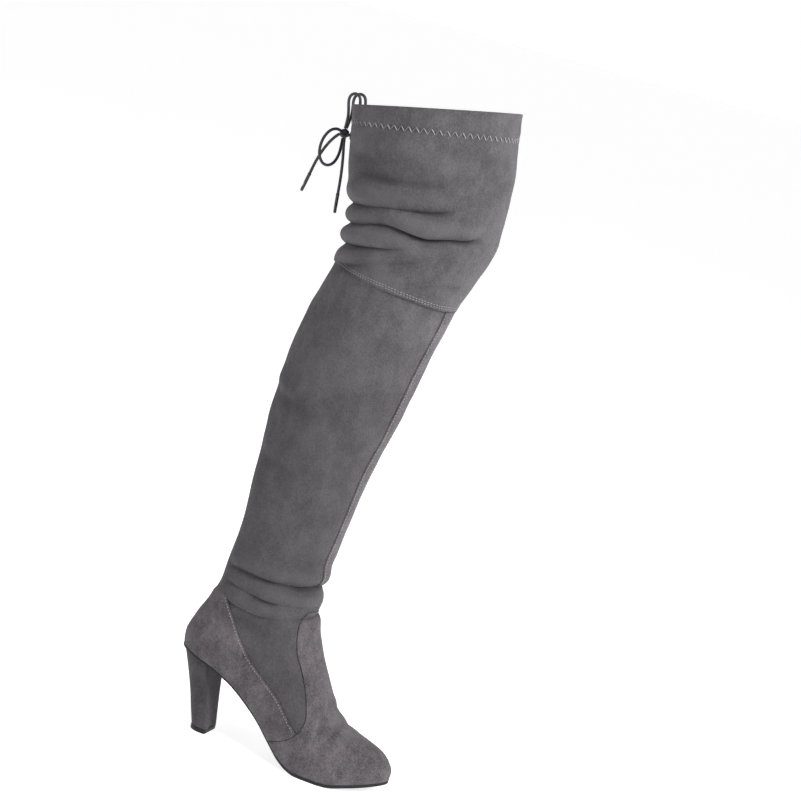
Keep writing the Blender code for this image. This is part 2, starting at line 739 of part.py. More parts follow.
def make_heel():
    """The covered block, from the seat's underside down to the top piece."""

    def place(row, col):
        x, y = heel_outline(HEEL[row], col)
        z = mix(sole_z(x) - HEEL_SEAT_GAP, TOP_PIECE_HEIGHT + FIT, HEEL[row].down)
        return Vector((x - REST_X, y, z))

    piece = finish(closed_tube(len(HEEL) - 1, place), "heel", SUEDE)
    piece.data.set_sharp_from_angle(angle=radians(HEEL_EDGE_ANGLE))
    return piece


def make_heel_top_piece():
    def place(row, col):
        x, y = heel_outline(HEEL[-1], col)
        return Vector((x - REST_X, y, TOP_PIECE_HEIGHT * row))

    piece = finish(closed_tube(1, place), "heel_top_piece", BLACK_RUBBER)
    piece.data.set_sharp_from_angle(angle=radians(HEEL_EDGE_ANGLE))
    return piece


def curve_point(places, number, t):
    """A place on the smooth curve between one place of a route and the next."""
    before = places[max(0, number - 1)]
    start, end = places[number], places[number + 1]
    after = places[min(len(places) - 1, number + 2)]
    leave, arrive = (end - before) / 2, (after - start) / 2
    bent = start * (1 + 2 * t) * (1 - t) ** 2 + leave * t * (1 - t) ** 2
    return bent + end * t**2 * (3 - 2 * t) + arrive * t**2 * (t - 1)


def bow_place():
    """The middle of the cuff's back, at the eyelets' height."""
    return skin(section_at(mix(COLLAR - 2, COLLAR, EYELET_ALONG)), 1) - Vector((FIT + WALL, 0, 0))


def route_points(route):
    """Even steps along the smooth curve through a route's places."""
    fine_steps = 12
    places = [bow_place() + Vector(place) for place in route]
    fine = []
    for number in range(len(places) - 1):
        fine += [curve_point(places, number, step / fine_steps) for step in range(fine_steps)]
    fine.append(places[-1])
    lengths = [0.0]
    for a, b in zip(fine, fine[1:]):
        lengths.append(lengths[-1] + (b - a).length)
    count = max(2, round(lengths[-1] / CORD_STEP))
    points = []
    for number in range(count + 1):
        reach = lengths[-1] * number / count
        span = min(len(fine) - 2, max(0, sum(length <= reach for length in lengths) - 1))
        share = (reach - lengths[span]) / (lengths[span + 1] - lengths[span])
        points.append(fine[span].lerp(fine[span + 1], min(1.0, share)))
    return points


def make_cord(name, route):
    """A round cord along a route, closed at both ends."""
    points = route_points(route)
    curve = bpy.data.curves.new(name, "CURVE")
    curve.dimensions = "3D"
    curve.bevel_depth = CORD / 2
    curve.bevel_resolution = CORD_RESOLUTION
    curve.use_fill_caps = True
    spline = curve.splines.new("POLY")
    spline.points.add(len(points) - 1)
    for target, point in zip(spline.points, points):
        target.co = (*point, 1)
    spline.use_smooth = True
    piece = bpy.data.objects.new(name, curve)
    curve.materials.append(material(name, *BLACK_CORD))
    bpy.context.scene.collection.objects.link(piece)
    return piece


def make_tip(name, route):
    """The bound tip that carries on from a cord's lower end."""
    end = bow_place() + Vector(route[-1])
    heading = (Vector(route[-1]) - Vector(route[-2])).normalized()
    bm = bmesh.new()
    end_radius = TIP_RADIUS * TIP_TAPER
    bmesh.ops.create_cone(
        bm, cap_ends=True, segments=TIP_SIDES, radius1=TIP_RADIUS, radius2=end_radius, depth=TIP_LENGTH
    )
    turn = heading.to_track_quat("Z", "Y")
    middle = end + heading * (FIT + TIP_LENGTH / 2)
    for vert in bm.verts:
        vert.co = turn @ vert.co + middle
    return finish(bm, name, BLACK_CORD)


def make_knot():
    bm = bmesh.new()
    bmesh.ops.create_icosphere(bm, subdivisions=2, radius=1.0)
    for vert in bm.verts:
        vert.co = bow_place() + KNOT_PLACE + Vector(a * b for a, b in zip(vert.co, KNOT_SIZE))
    return finish(bm, "lace_knot", BLACK_CORD)


def make_eyelet(name, around):
    """A flat ring on the back of the cuff, square to the flat face there, the last before the middle."""
    along = mix(COLLAR - 2, COLLAR, EYELET_ALONG)
    section = section_at(along)
    near = 0.01
    middle_back = 1 if around > 0 else -1
    face_edge = middle_back * (1 - 2 / COLUMNS)
    share = (middle_back - around) / (middle_back - face_edge)
    seat = skin(section, middle_back).lerp(skin(section, face_edge), share)
    sideways = skin(section, around + near) - skin(section, around - near)
    upwards = skin(section_at(along + near), around) - skin(section_at(along - near), around)
    out = sideways.cross(upwards).normalized()
    out = out if out.x < 0 else -out
    bm = bmesh.new()
    bmesh.ops.create_circle(bm, segments=EYELET_SIDES, radius=EYELET_HOLE)
    ring = bmesh.ops.extrude_edge_only(bm, edges=list(bm.edges))
    edge = [item for item in ring["geom"] if isinstance(item, bmesh.types.BMVert)]
    bmesh.ops.scale(bm, verts=edge, vec=(EYELET_OUTER / EYELET_HOLE, EYELET_OUTER / EYELET_HOLE, 1))
    made = bmesh.ops.extrude_face_region(bm, geom=list(bm.faces))
    top = [item for item in made["geom"] if isinstance(item, bmesh.types.BMVert)]
    bmesh.ops.translate(bm, verts=top, vec=(0, 0, EYELET_HEIGHT))
    bmesh.ops.recalc_face_normals(bm, faces=bm.faces)
    turn = out.to_track_quat("Z", "Y")
    middle = seat + out * (FIT + WALL + FIT)
    for vert in bm.verts:
        vert.co = turn @ vert.co + middle
    return finish(bm, name, BLACK_RUBBER)


def make_lace():
    make_eyelet("eyelet_outer", -EYELET_AROUND)
    make_eyelet("eyelet_inner", EYELET_AROUND)
    make_cord("lace_bar", BAR_ROUTE)
    make_knot()
    make_cord("lace_high_loop", HIGH_LOOP_ROUTE)
    make_cord("lace_low_loop", LOW_LOOP_ROUTE)
    for name, route in (("lace_long_end", LONG_END_ROUTE), ("lace_short_end", SHORT_END_ROUTE)):
        make_cord(name, route)
        make_tip(name.replace("end", "tip"), route)


def main():
    for old in list(bpy.data.objects):
        bpy.data.objects.remove(old)
    make_outsole()
    make_insole()
    make_heel()
    make_heel_top_piece()
    make_upper()
    make_shaft()
    make_vamp_panel()
    make_counter_panel()
    make_front_strip()
    make_thigh_cuff()
    make_hem_band()
    make_lace()


main()
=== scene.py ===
"""Thigh high boot: the suede, seams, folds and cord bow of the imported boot.

An add-on in layout, run as a script. Metres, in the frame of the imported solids: +X to the toe, +Y to the
inner side, +Z up. The upper is one surface, and a place on it has two numbers: along counts the sections
from the toe tip to the collar, and around runs from -1 to 1, with 0 on the front ridge, the outer side
below 0 and the inner side above 0. Its edges meet in the middle of the back.
"""

import json
from collections import namedtuple
from functools import lru_cache
from math import acos, asin, ceil, cos, exp, pi, radians, sin

import bmesh
import bpy
from bpy.props import FloatProperty, FloatVectorProperty, PointerProperty
from mathutils import Matrix, Vector, noise
from mathutils.bvhtree import BVHTree

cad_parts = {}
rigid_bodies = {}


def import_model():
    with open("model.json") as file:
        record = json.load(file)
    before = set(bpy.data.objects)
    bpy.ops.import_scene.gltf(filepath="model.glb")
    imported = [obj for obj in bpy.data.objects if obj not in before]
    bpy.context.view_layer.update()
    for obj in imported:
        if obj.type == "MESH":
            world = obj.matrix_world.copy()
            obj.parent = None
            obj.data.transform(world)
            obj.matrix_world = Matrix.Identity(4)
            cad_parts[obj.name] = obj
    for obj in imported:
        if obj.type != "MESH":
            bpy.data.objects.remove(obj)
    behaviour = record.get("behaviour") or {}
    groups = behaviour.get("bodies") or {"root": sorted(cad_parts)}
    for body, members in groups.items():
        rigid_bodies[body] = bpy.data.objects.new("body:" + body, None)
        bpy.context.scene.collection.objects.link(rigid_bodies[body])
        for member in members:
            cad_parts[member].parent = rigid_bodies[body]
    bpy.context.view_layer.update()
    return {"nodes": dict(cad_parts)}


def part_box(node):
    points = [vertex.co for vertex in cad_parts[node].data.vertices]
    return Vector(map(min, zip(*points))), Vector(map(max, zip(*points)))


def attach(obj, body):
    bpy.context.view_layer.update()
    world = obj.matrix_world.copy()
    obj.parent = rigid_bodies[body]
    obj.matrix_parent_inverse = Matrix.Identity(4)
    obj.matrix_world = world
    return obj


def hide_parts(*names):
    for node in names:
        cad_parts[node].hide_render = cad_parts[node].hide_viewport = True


bl_info = {
    "name": "Thigh high boot",
    "version": (1, 0, 0),
    "blender": (4, 5, 0),
    "location": "View3D > Sidebar > Boot",
    "description": "Builds the visible surfaces of a tall suede boot round its packed solids",
    "category": "Object",
}

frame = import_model()
BODY = "root"


def table(kind, *rows):
    """Rows of numbers as named rows."""
    return [kind(*row) for row in rows]


# Foot
LAST_LENGTH = 0.244
BALL_WIDTH = 0.079
HEEL_HEIGHT = 0.082
TOE_SPRING = 0.014
INSTEP_HEIGHT = 0.137
ANKLE_RISE = 0.0905

# Leg
ANKLE_DEPTH = 0.101
ANKLE_WIDTH = 0.069
CALF_LENGTH = 0.327
CALF_DEPTH = 0.125
CALF_WIDTH = 0.098
KNEE_DEPTH = 0.119
KNEE_WIDTH = 0.104
THIGH_LENGTH = 0.1725
THIGH_DEPTH = 0.162
THIGH_WIDTH = 0.132

# Materials and fits
WALL = 0.0016
FIT = 0.0003
PANEL = 0.0008
SOLE_THICKNESS = 0.0032
SEAT_THICKNESS = 0.0022
HEM_THICKNESS = 0.0010

# Heel
HEEL_LENGTH = 0.036
HEEL_WIDTH = 0.050
HEEL_INSET = 0.0012
HEEL_SEAT_GAP = 0.0006
HEEL_TIP_LENGTH = 0.021
HEEL_TIP_WIDTH = 0.031
HEEL_TIP_BACK = 0.028
TOP_PIECE_HEIGHT = 0.0048
HEEL_SIDES = 16
HEEL_SQUARE = 9
HEEL_ROUND = 2
HEEL_MIDDLE = 0.68

# Cord bow at the back of the cuff
CORD = 0.003
TIP_RADIUS = 0.0019
TIP_LENGTH = 0.020
TIP_COLUMNS = 24
EYELET_OUTER = 0.0042
EYELET_HOLE = 0.0027
EYELET_ALONG = 0.27
REST_X = HEEL_TIP_BACK + HEEL_TIP_LENGTH / 2
ANKLE_HEIGHT = HEEL_HEIGHT + ANKLE_RISE
NARROWEST = 0.97

# Fineness of the visible surfaces
UPPER_STEP = 0.0022
UPPER_COLUMNS = 132
CUFF_STEP = 0.0016
CUFF_COLUMNS = 192
PANEL_STEP = 0.0024
SOLE_STEP = 0.0020
HEEL_COLUMNS = 72
HEEL_ROWS = 36
WELD = 0.00001

# The sole's underside: how far along the last, and its height as a share of the heel height and of the
# toe spring
SolePoint = namedtuple("SolePoint", "along heel spring")
SOLE_LINE = table(
    SolePoint,
    (0.000, 1.000, 0.00), (0.172, 0.890, 0.00), (0.246, 0.800, 0.00), (0.300, 0.705, 0.00),
    (0.350, 0.605, 0.00), (0.402, 0.490, 0.00), (0.451, 0.370, 0.00), (0.504, 0.232, 0.00),
    (0.560, 0.100, 0.00), (0.611, 0.026, 0.00), (0.655, 0.000, 0.00), (0.775, 0.000, 0.00),
    (0.873, 0.000, 0.35), (0.967, 0.000, 0.82), (1.000, 0.000, 1.00),
)

# The sole's outline: how far along the last, the half widths as shares of the ball width
OutlinePoint = namedtuple("OutlinePoint", "along outer inner")
OUTLINE = table(
    OutlinePoint,
    (0.00, 0.000, 0.000), (0.02, 0.177, 0.177), (0.06, 0.278, 0.278), (0.12, 0.338, 0.338),
    (0.20, 0.338, 0.330), (0.30, 0.306, 0.278), (0.40, 0.312, 0.240), (0.50, 0.367, 0.278),
    (0.60, 0.443, 0.380), (0.68, 0.490, 0.468), (0.74, 0.492, 0.500), (0.80, 0.456, 0.481),
    (0.87, 0.367, 0.418), (0.93, 0.266, 0.316), (0.97, 0.165, 0.203), (1.00, 0.000, 0.000),
)

# Sections of the foot, toe to heel back. seat and ridge are shares of the last length, crest of the instep
# height above the feather line, outer and inner of the ball width. widest is how far back the section is
# widest, and blunt how square it is behind
FootSection = namedtuple("FootSection", "seat ridge crest outer inner widest blunt")
FOOT = table(
    FootSection,
    (1.000, 1.0000, 0.000, 0.000, 0.000, 0.50, 1.00), (0.985, 0.9955, 0.060, 0.150, 0.165, 0.55, 1.00),
    (0.950, 0.9780, 0.116, 0.240, 0.284, 0.60, 1.00), (0.900, 0.9400, 0.193, 0.342, 0.396, 0.62, 1.00),
    (0.820, 0.8660, 0.279, 0.466, 0.492, 0.64, 1.00), (0.740, 0.7850, 0.357, 0.520, 0.525, 0.65, 1.00),
    (0.640, 0.7150, 0.440, 0.508, 0.490, 0.62, 1.00), (0.540, 0.6720, 0.558, 0.482, 0.462, 0.58, 1.00),
    (0.420, 0.6320, 0.679, 0.456, 0.443, 0.54, 0.97), (0.280, 0.5980, 0.771, 0.443, 0.430, 0.51, 0.90),
    (0.150, 0.5700, 0.858, 0.430, 0.424, 0.49, 0.80), (0.050, 0.5500, 0.929, 0.424, 0.418, 0.48, 0.72),
    (0.000, 0.5400, 0.973, 0.418, 0.418, 0.47, 0.70),
)

# Sections round the heel counter, between the heel-back section and the ankle. back and front are shares of
# the last length, back_up and front_up the way up to the ankle, and half a share of the ankle width
CounterSection = namedtuple("CounterSection", "back back_up front front_up half widest blunt")
COUNTER = table(
    CounterSection,
    (-0.0060, 0.15, 0.5310, 0.30, 0.479, 0.47, 0.70),
    (0.0205, 0.41, 0.5225, 0.52, 0.484, 0.48, 0.74),
    (0.0635, 0.71, 0.5180, 0.75, 0.490, 0.49, 0.82),
)

# Sections of the leg: up as a share of the calf length from the ankle, lean as a share of it ahead of the
# ankle's middle, depth and half width in metres from the named girths, tilt in degrees, front up
LegSection = namedtuple("LegSection", "up lean depth half tilt widest blunt")
ANKLE_MIDDLE = 0.3055 * LAST_LENGTH
LEG = table(
    LegSection,
    (0.000, 0.0000, 1.05 * ANKLE_DEPTH, 0.500 * ANKLE_WIDTH, 8.3, 0.50, 0.90),
    (0.068, 0.0030, 1.03 * ANKLE_DEPTH, 0.507 * ANKLE_WIDTH, 4.6, 0.50, 0.94),
    (0.228, 0.0170, 1.04 * ANKLE_DEPTH, 0.540 * ANKLE_WIDTH, 2.0, 0.52, 0.97),
    (0.420, 0.0320, 0.925 * CALF_DEPTH, 0.440 * CALF_WIDTH, 0.0, 0.54, 1.00),
    (0.560, 0.0490, 1.020 * CALF_DEPTH, 0.480 * CALF_WIDTH, -1.0, 0.55, 1.00),
    (0.700, 0.0670, 1.065 * CALF_DEPTH, 0.500 * CALF_WIDTH, -2.5, 0.54, 1.00),
    (0.845, 0.0940, 1.065 * CALF_DEPTH, 0.510 * CALF_WIDTH, -4.5, 0.52, 1.00),
    (1.000, 0.1340, 1.070 * KNEE_DEPTH, 0.500 * KNEE_WIDTH, -7.5, 0.50, 1.00),
)

# Sections of the thigh: the same columns, with up and lean as shares of the thigh length
THIGH = table(
    LegSection,
    (0.040, 0.010, 1.080 * KNEE_DEPTH, 0.505 * KNEE_WIDTH, -7.0, 0.50, 1.00),
    (0.170, 0.044, 0.850 * THIGH_DEPTH, 0.420 * THIGH_WIDTH, -4.0, 0.50, 1.00),
    (0.390, 0.068, 0.940 * THIGH_DEPTH, 0.447 * THIGH_WIDTH, 0.5, 0.50, 1.00),
    (0.660, 0.032, 1.012 * THIGH_DEPTH, 0.470 * THIGH_WIDTH, 4.5, 0.50, 1.00),
    (0.908, -0.012, 1.010 * THIGH_DEPTH, 0.485 * THIGH_WIDTH, 9.0, 0.50, 1.00),
    (1.026, -0.030, 1.025 * THIGH_DEPTH, 0.500 * THIGH_WIDTH, 12.0, 0.50, 1.00),
)

# The heel block: how far down it, and the way from the seat's back, breast and width to the tip's
HeelLevel = namedtuple("HeelLevel", "down back breast width")
HEEL = table(
    HeelLevel,
    (0.00, 0.00, 0.00, 0.00), (0.12, 0.15, 0.10, 0.14), (0.30, 0.36, 0.28, 0.36),
    (0.55, 0.62, 0.53, 0.62), (0.80, 0.83, 0.79, 0.84), (1.00, 1.00, 1.00, 1.00),
)

# The bow lies on the back of the cuff. Its routes are lists of places that its cord runs through,
# measured from the cuff's back between the eyelets
KNOT_PLACE = Vector((-0.0092, 0.0, 0.0))
BAR_ROUTE = [
    (-0.0011, -0.0098, 0.0000), (-0.0027, -0.0049, 0.0000), (-0.0034, 0.0000, 0.0000),
    (-0.0027, 0.0049, 0.0000), (-0.0011, 0.0098, 0.0000),
]
HALF_HIGH_LOOP = [
    (-0.0092, 0.0019, 0.0050), (-0.0088, 0.0030, 0.0110), (-0.0086, 0.0048, 0.0190),
    (-0.0100, 0.0063, 0.0270), (-0.0112, 0.0070, 0.0335), (-0.0098, 0.0074, 0.0388),
    (-0.0050, 0.0077, 0.0412), (-0.0003, 0.0078, 0.0387), (0.0016, 0.0078, 0.0325),
    (0.0027, 0.0074, 0.0255), (0.0037, 0.0048, 0.0202),
]
OTHER_HALF = [(x, -y, z) for x, y, z in reversed(HALF_HIGH_LOOP)]
HIGH_LOOP_ROUTE = [*HALF_HIGH_LOOP, (0.0043, 0.0000, 0.0182), *OTHER_HALF]
LOW_LOOP_ROUTE = [
    (-0.0100, -0.0060, 0.0012), (-0.0142, -0.0088, 0.0030), (-0.0196, -0.0114, 0.0005),
    (-0.0238, -0.0136, -0.0070), (-0.0250, -0.0154, -0.0170), (-0.0230, -0.0164, -0.0265),
    (-0.0178, -0.0162, -0.0330), (-0.0120, -0.0144, -0.0335), (-0.0078, -0.0112, -0.0285),
    (-0.0066, -0.0080, -0.0200), (-0.0076, -0.0050, -0.0120), (-0.0090, -0.0022, -0.0052),
]
LONG_END_ROUTE = [
    (-0.0140, -0.0002, -0.0018), (-0.0180, -0.0012, -0.0065), (-0.0228, -0.0020, -0.0145),
    (-0.0270, -0.0026, -0.0245), (-0.0302, -0.0032, -0.0355), (-0.0326, -0.0036, -0.0470),
]
SHORT_END_ROUTE = [
    (-0.0094, 0.0036, -0.0040), (-0.0092, 0.0064, -0.0120), (-0.0078, 0.0084, -0.0220),
    (-0.0062, 0.0097, -0.0340), (-0.0048, 0.0104, -0.0470), (-0.0038, 0.0108, -0.0600),
]

# Panel seams seen from the side: along as a share of the last length, up as a share of the instep height
SeamPoint = namedtuple("SeamPoint", "along up")
VAMP_SEAM = table(
    SeamPoint,
    (0.570, 1.075), (0.533, 1.065), (0.502, 1.000), (0.490, 0.880), (0.515, 0.750),
    (0.561, 0.680), (0.600, 0.590), (0.630, 0.475), (0.639, 0.400), (0.622, 0.300),
    (0.582, 0.200), (0.537, 0.104), (0.490, 0.000),
)
SIDE_SEAM = table(
    SeamPoint,
    (0.060, 0.720), (0.119, 0.645), (0.180, 0.525), (0.254, 0.400), (0.332, 0.335),
    (0.410, 0.335), (0.500, 0.358), (0.561, 0.335), (0.612, 0.300),
)
SEAM_GAP = 0.0006
STRIP_HALF = 1 / 11
STRIP_TUCK = 2 / 3
STRIP_END = 0.02
LAP = 0.6
CUTTER_REACH = 0.09
BELOW_SOLE = -0.02

# Creases: places as around and height, or as around and along on the foot. depth and width are the trough's,
# above and below the swelling beside it, and hang how far the cloth above it droops over the trough
Crease = namedtuple("Crease", "path depth width above below hang")
LEG_CREASES = table(
    Crease,
    (((-0.88, 0.1810), (-0.70, 0.1820), (-0.47, 0.1822), (-0.30, 0.1838), (-0.02, 0.1872), (0.16, 0.1865)),
     0.0046, 0.0054, 0.0026, 0.0020, 0.0034),
    (((-0.84, 0.1665), (-0.72, 0.1655), (-0.47, 0.1622), (-0.30, 0.1612), (0.00, 0.1665), (0.18, 0.1650)),
     0.0050, 0.0050, 0.0026, 0.0020, 0.0036),
    (((-0.74, 0.1520), (-0.60, 0.1475), (-0.46, 0.1455), (-0.34, 0.1462), (-0.20, 0.1515), (0.02, 0.1585),
      (0.16, 0.1580)), 0.0046, 0.0048, 0.0040, -0.0010, 0.0052),
    (((0.04, 0.1850), (0.22, 0.1845), (0.45, 0.1800), (0.66, 0.1790), (0.86, 0.1815)),
     0.0044, 0.0054, 0.0024, 0.0018, 0.0030),
    (((0.06, 0.1655), (0.25, 0.1630), (0.45, 0.1590), (0.65, 0.1625), (0.82, 0.1660)),
     0.0048, 0.0050, 0.0024, 0.0018, 0.0032),
    (((0.06, 0.1580), (0.20, 0.1520), (0.36, 0.1455), (0.52, 0.1450), (0.70, 0.1510)),
     0.0040, 0.0048, 0.0036, -0.0008, 0.0044),
    (((-0.70, 0.1360), (-0.50, 0.1320), (-0.34, 0.1330)), 0.0012, 0.0060, 0.0006, 0.0, 0.0),
    (((-0.62, 0.2020), (-0.40, 0.2050), (-0.14, 0.2120)), 0.0013, 0.0075, 0.0008, 0.0006, 0.0),
    (((0.16, 0.2100), (0.45, 0.2040), (0.70, 0.2010)), 0.0013, 0.0075, 0.0008, 0.0006, 0.0),
    (((-0.98, 0.3700), (-0.75, 0.3660), (-0.45, 0.3560)), 0.0018, 0.0070, 0.0014, 0.0002, 0.0006),
    (((-0.95, 0.3080), (-0.70, 0.2980), (-0.45, 0.2920)), 0.0014, 0.0080, 0.0010, 0.0002, 0.0),
    (((0.50, 0.3560), (0.75, 0.3620), (0.98, 0.3700)), 0.0014, 0.0080, 0.0010, 0.0002, 0.0),
    (((-0.60, 0.4560), (-0.35, 0.4480), (-0.12, 0.4530)), 0.0014, 0.0075, 0.0010, 0.0004, 0.0),
)
CUFF_CREASES = table(
    Crease,
    (((-1.00, 0.5680), (-0.74, 0.5728), (-0.50, 0.5810), (-0.26, 0.5932)),
     0.0059, 0.0054, 0.0029, 0.0018, 0.0030),
    (((-1.00, 0.5490), (-0.74, 0.5553), (-0.55, 0.5625), (-0.42, 0.5612), (-0.30, 0.5648), (-0.12, 0.5709)),
     0.0081, 0.0047, 0.0034, 0.0023, 0.0042),
    (((-1.00, 0.5280), (-0.77, 0.5326), (-0.60, 0.5376), (-0.42, 0.5462)),
     0.0057, 0.0045, 0.0023, 0.0018, 0.0030),
    (((-0.92, 0.5087), (-0.74, 0.5123), (-0.55, 0.5231), (-0.36, 0.5388)),
     0.0032, 0.0052, 0.0013, 0.0016, 0.0013),
    (((-0.30, 0.5183), (-0.16, 0.5176), (-0.02, 0.5228)), 0.0018, 0.0049, 0.0008, 0.0008, 0.0005),
    (((-0.90, 0.6120), (-0.62, 0.6150), (-0.28, 0.6100)), 0.0021, 0.0095, 0.0013, 0.0010, 0.0000),
    (((-0.86, 0.5953), (-0.60, 0.6016), (-0.34, 0.6089)), 0.0018, 0.0062, 0.0010, 0.0010, 0.0000),
    (((-0.30, 0.6420), (-0.14, 0.6470), (0.02, 0.6420)), 0.0015, 0.0067, 0.0008, 0.0005, 0.0000),
    (((0.28, 0.5905), (0.52, 0.5798), (0.76, 0.5712), (1.00, 0.5680)),
     0.0057, 0.0056, 0.0026, 0.0018, 0.0028),
    (((0.14, 0.5677), (0.34, 0.5599), (0.55, 0.5611), (0.78, 0.5535), (1.00, 0.5490)),
     0.0073, 0.0049, 0.0031, 0.0021, 0.0037),
    (((0.40, 0.5424), (0.60, 0.5366), (0.80, 0.5308), (1.00, 0.5280)),
     0.0054, 0.0047, 0.0023, 0.0016, 0.0028),
    (((0.36, 0.5328), (0.58, 0.5208), (0.80, 0.5118), (0.92, 0.5097)),
     0.0030, 0.0054, 0.0013, 0.0013, 0.0010),
    (((0.30, 0.6080), (0.62, 0.6160), (0.90, 0.6130)), 0.0019, 0.0095, 0.0013, 0.0010, 0.0000),
)
FOOT_CREASES = table(
    Crease,
    (((-0.62, 5.75), (-0.35, 6.25), (-0.10, 6.80)), 0.0014, 0.0034, 0.0009, 0.0006, 0.0),
    (((-0.48, 5.10), (-0.25, 5.45), (-0.02, 5.62)), 0.0012, 0.0036, 0.0008, 0.0005, 0.0),
    (((0.10, 6.70), (0.34, 6.20), (0.60, 5.70)), 0.0014, 0.0034, 0.0009, 0.0006, 0.0),
    (((0.04, 5.60), (0.26, 5.40), (0.48, 5.05)), 0.0012, 0.0036, 0.0008, 0.0005, 0.0),
    (((-0.30, 7.60), (-0.12, 7.95), (0.10, 8.05)), 0.0011, 0.0042, 0.0008, 0.0004, 0.0),
)

# A crease's form, in its own widths: the valley below its line, and the swellings' and the droop's middles
# and spreads
CREASE_REACH = 7
VALLEY = 1.7
SWELL_ABOVE = (1.9, 1.3)
SWELL_BELOW = (-3.3, 1.7)
DROOP_MIDDLE = 0.9

# A section's step along the foot in metres, how far round a crease's ends fade, and how uneven its depth is,
# in patches of a share of the way round
FOOT_SPAN = 0.024
CREASE_FADE = 0.14
CREASE_PATCH = 0.16
CREASE_UNEVEN = 0.55
CREASE_SEEDS = (37, 900)

# Where the two sides' folds begin to meet behind, the size and height of the loose waves in the leg, and how
# the folds are scaled for the suede's painted shade in their valleys and painted highlight on their ridges
BACK_BLEND = 0.86
EASE_WAVES = ((0.045, 0.0015), (0.016, 0.0007))
FOLD_SHADE_SCALE = 250

# Stitching
SEAT_STEP = 0.0004
SEAT_LIFT = 0.004
STITCH_SIDES = 6
STITCH_RINGS = 4
TOPSTITCH_INSET = 0.0018
KNEE_ROWS = (0.22, 0.60)
ZIGZAG_DROP = 0.0215
ZIGZAG_HEIGHT = 0.0066
ZIGZAG_PITCH = 0.0066
RIM_SPAN = (THIGH[-1].up - THIGH[-2].up) * THIGH_LENGTH
BELOW_RIM_SPAN = (THIGH[-2].up - THIGH[-3].up) * THIGH_LENGTH
ZIGZAG_BELOW = 1 + (ZIGZAG_DROP - RIM_SPAN) / BELOW_RIM_SPAN
PINCH_DEPTH = 0.0012
PINCH_WIDTH = 0.0042

# The counter's top, which lies under the folds of the ankle: the height where it starts to sink, and how far
SINK_FROM = 0.146
SINK_SPAN = 0.010
SINK = 0.0022
SEAM_TOP = 0.151
SOLE_EDGE = 0.0013

# Cord bow
CORD_FINE_STEP = 0.0013
BEND_ROUNDS = 4
CORD_SIDES = 14
KNOT_STRAND = 0.0014
RING_COLUMNS = 36

# Camera and studio
IMAGE_SIDE = 801
FOCAL_PIXELS = 2395
SENSOR = 36.0
CAMERA_AZIMUTH = 18
CAMERA_ELEVATION = 11
CAMERA_ROLL = 14.8
CAMERA_DISTANCE = 2.4
CAMERA_TARGET = Vector((0.045, 0.0, 0.34))
TARGET_PIXEL = (323, 428)

SECTION_FIELDS = "front_x front_z back_x back_z outer inner outer_end inner_end widest blunt"
Section = namedtuple("Section", SECTION_FIELDS)

# ---------------------------------------------------------------- settings


def colour(name, description, default):
    return FloatVectorProperty(name=name, description=description, subtype="COLOR", default=default,
                               min=0, max=1)


def distance(name, description, default, low, high):
    return FloatProperty(name=name, description=description, subtype="DISTANCE", unit="LENGTH",
                         default=default, min=low, max=high)


def factor(name, description, default, high=1.0):
    return FloatProperty(name=name, description=description, subtype="FACTOR", default=default,
                         min=0, max=high)


def power(name, description, default):
    return FloatProperty(name=name, description=description, subtype="POWER", unit="POWER", default=default,
                         min=0, max=1000)


class SuedeSettings(bpy.types.PropertyGroup):
    """Colour and nap of the suede."""

    leg_colour: colour("Leg colour", "Colour of the leg, cuff and side panels", (0.078, 0.074, 0.079))
    panel_colour: colour("Panel colour", "Colour of the vamp, counter and heel cover", (0.088, 0.079, 0.086))
    nap: distance("Nap", "Size of the nap's grain", 0.0017, 0.0002, 0.01)
    mottling: factor("Mottling", "How much brushed patches differ in tone", 0.40)
    fold_depth: factor("Fold depth", "Depth of the slouch folds against the modelled depth", 1.0, 1.5)


class StitchSettings(bpy.types.PropertyGroup):
    """Thread and stitch sizes."""

    colour: colour("Thread colour", "Colour of the light topstitching", (0.27, 0.26, 0.27))
    radius: distance("Thread radius", "Half the thread's thickness", 0.00030, 0.0001, 0.001)
    length: distance("Stitch length", "Length of a stitch that shows", 0.0021, 0.0005, 0.01)
    pitch: distance("Stitch pitch", "Distance from stitch to stitch", 0.0032, 0.001, 0.02)


class TrimSettings(bpy.types.PropertyGroup):
    """Colours of the cord, sole and lining."""

    cord_colour: colour("Cord colour", "Colour of the braided cord", (0.008, 0.008, 0.012))
    rubber_colour: colour("Rubber colour", "Colour of the outsole and top piece", (0.006, 0.006, 0.007))
    lining_colour: colour("Lining colour", "Colour of the lining, insole and hem band", (0.075, 0.073, 0.076))


class StudioSettings(bpy.types.PropertyGroup):
    """Floor and lights."""

    floor_colour: colour("Floor colour", "Colour of the pale floor", (0.62, 0.62, 0.63))
    floor_glow: factor("Floor glow", "How brightly the lit sweep under the boot shines", 0.80, 2.0)
    key: power("Key light", "Power of the main light", 135.0)
    fill: power("Fill light", "Power of the softer light", 7.0)
    horizon: factor("Horizon", "Brightness of the white surroundings at eye level", 1.0, 5.0)
    zenith: factor("Overhead", "Brightness of the surroundings overhead", 0.22, 5.0)


# ---------------------------------------------------------------- form of the boot


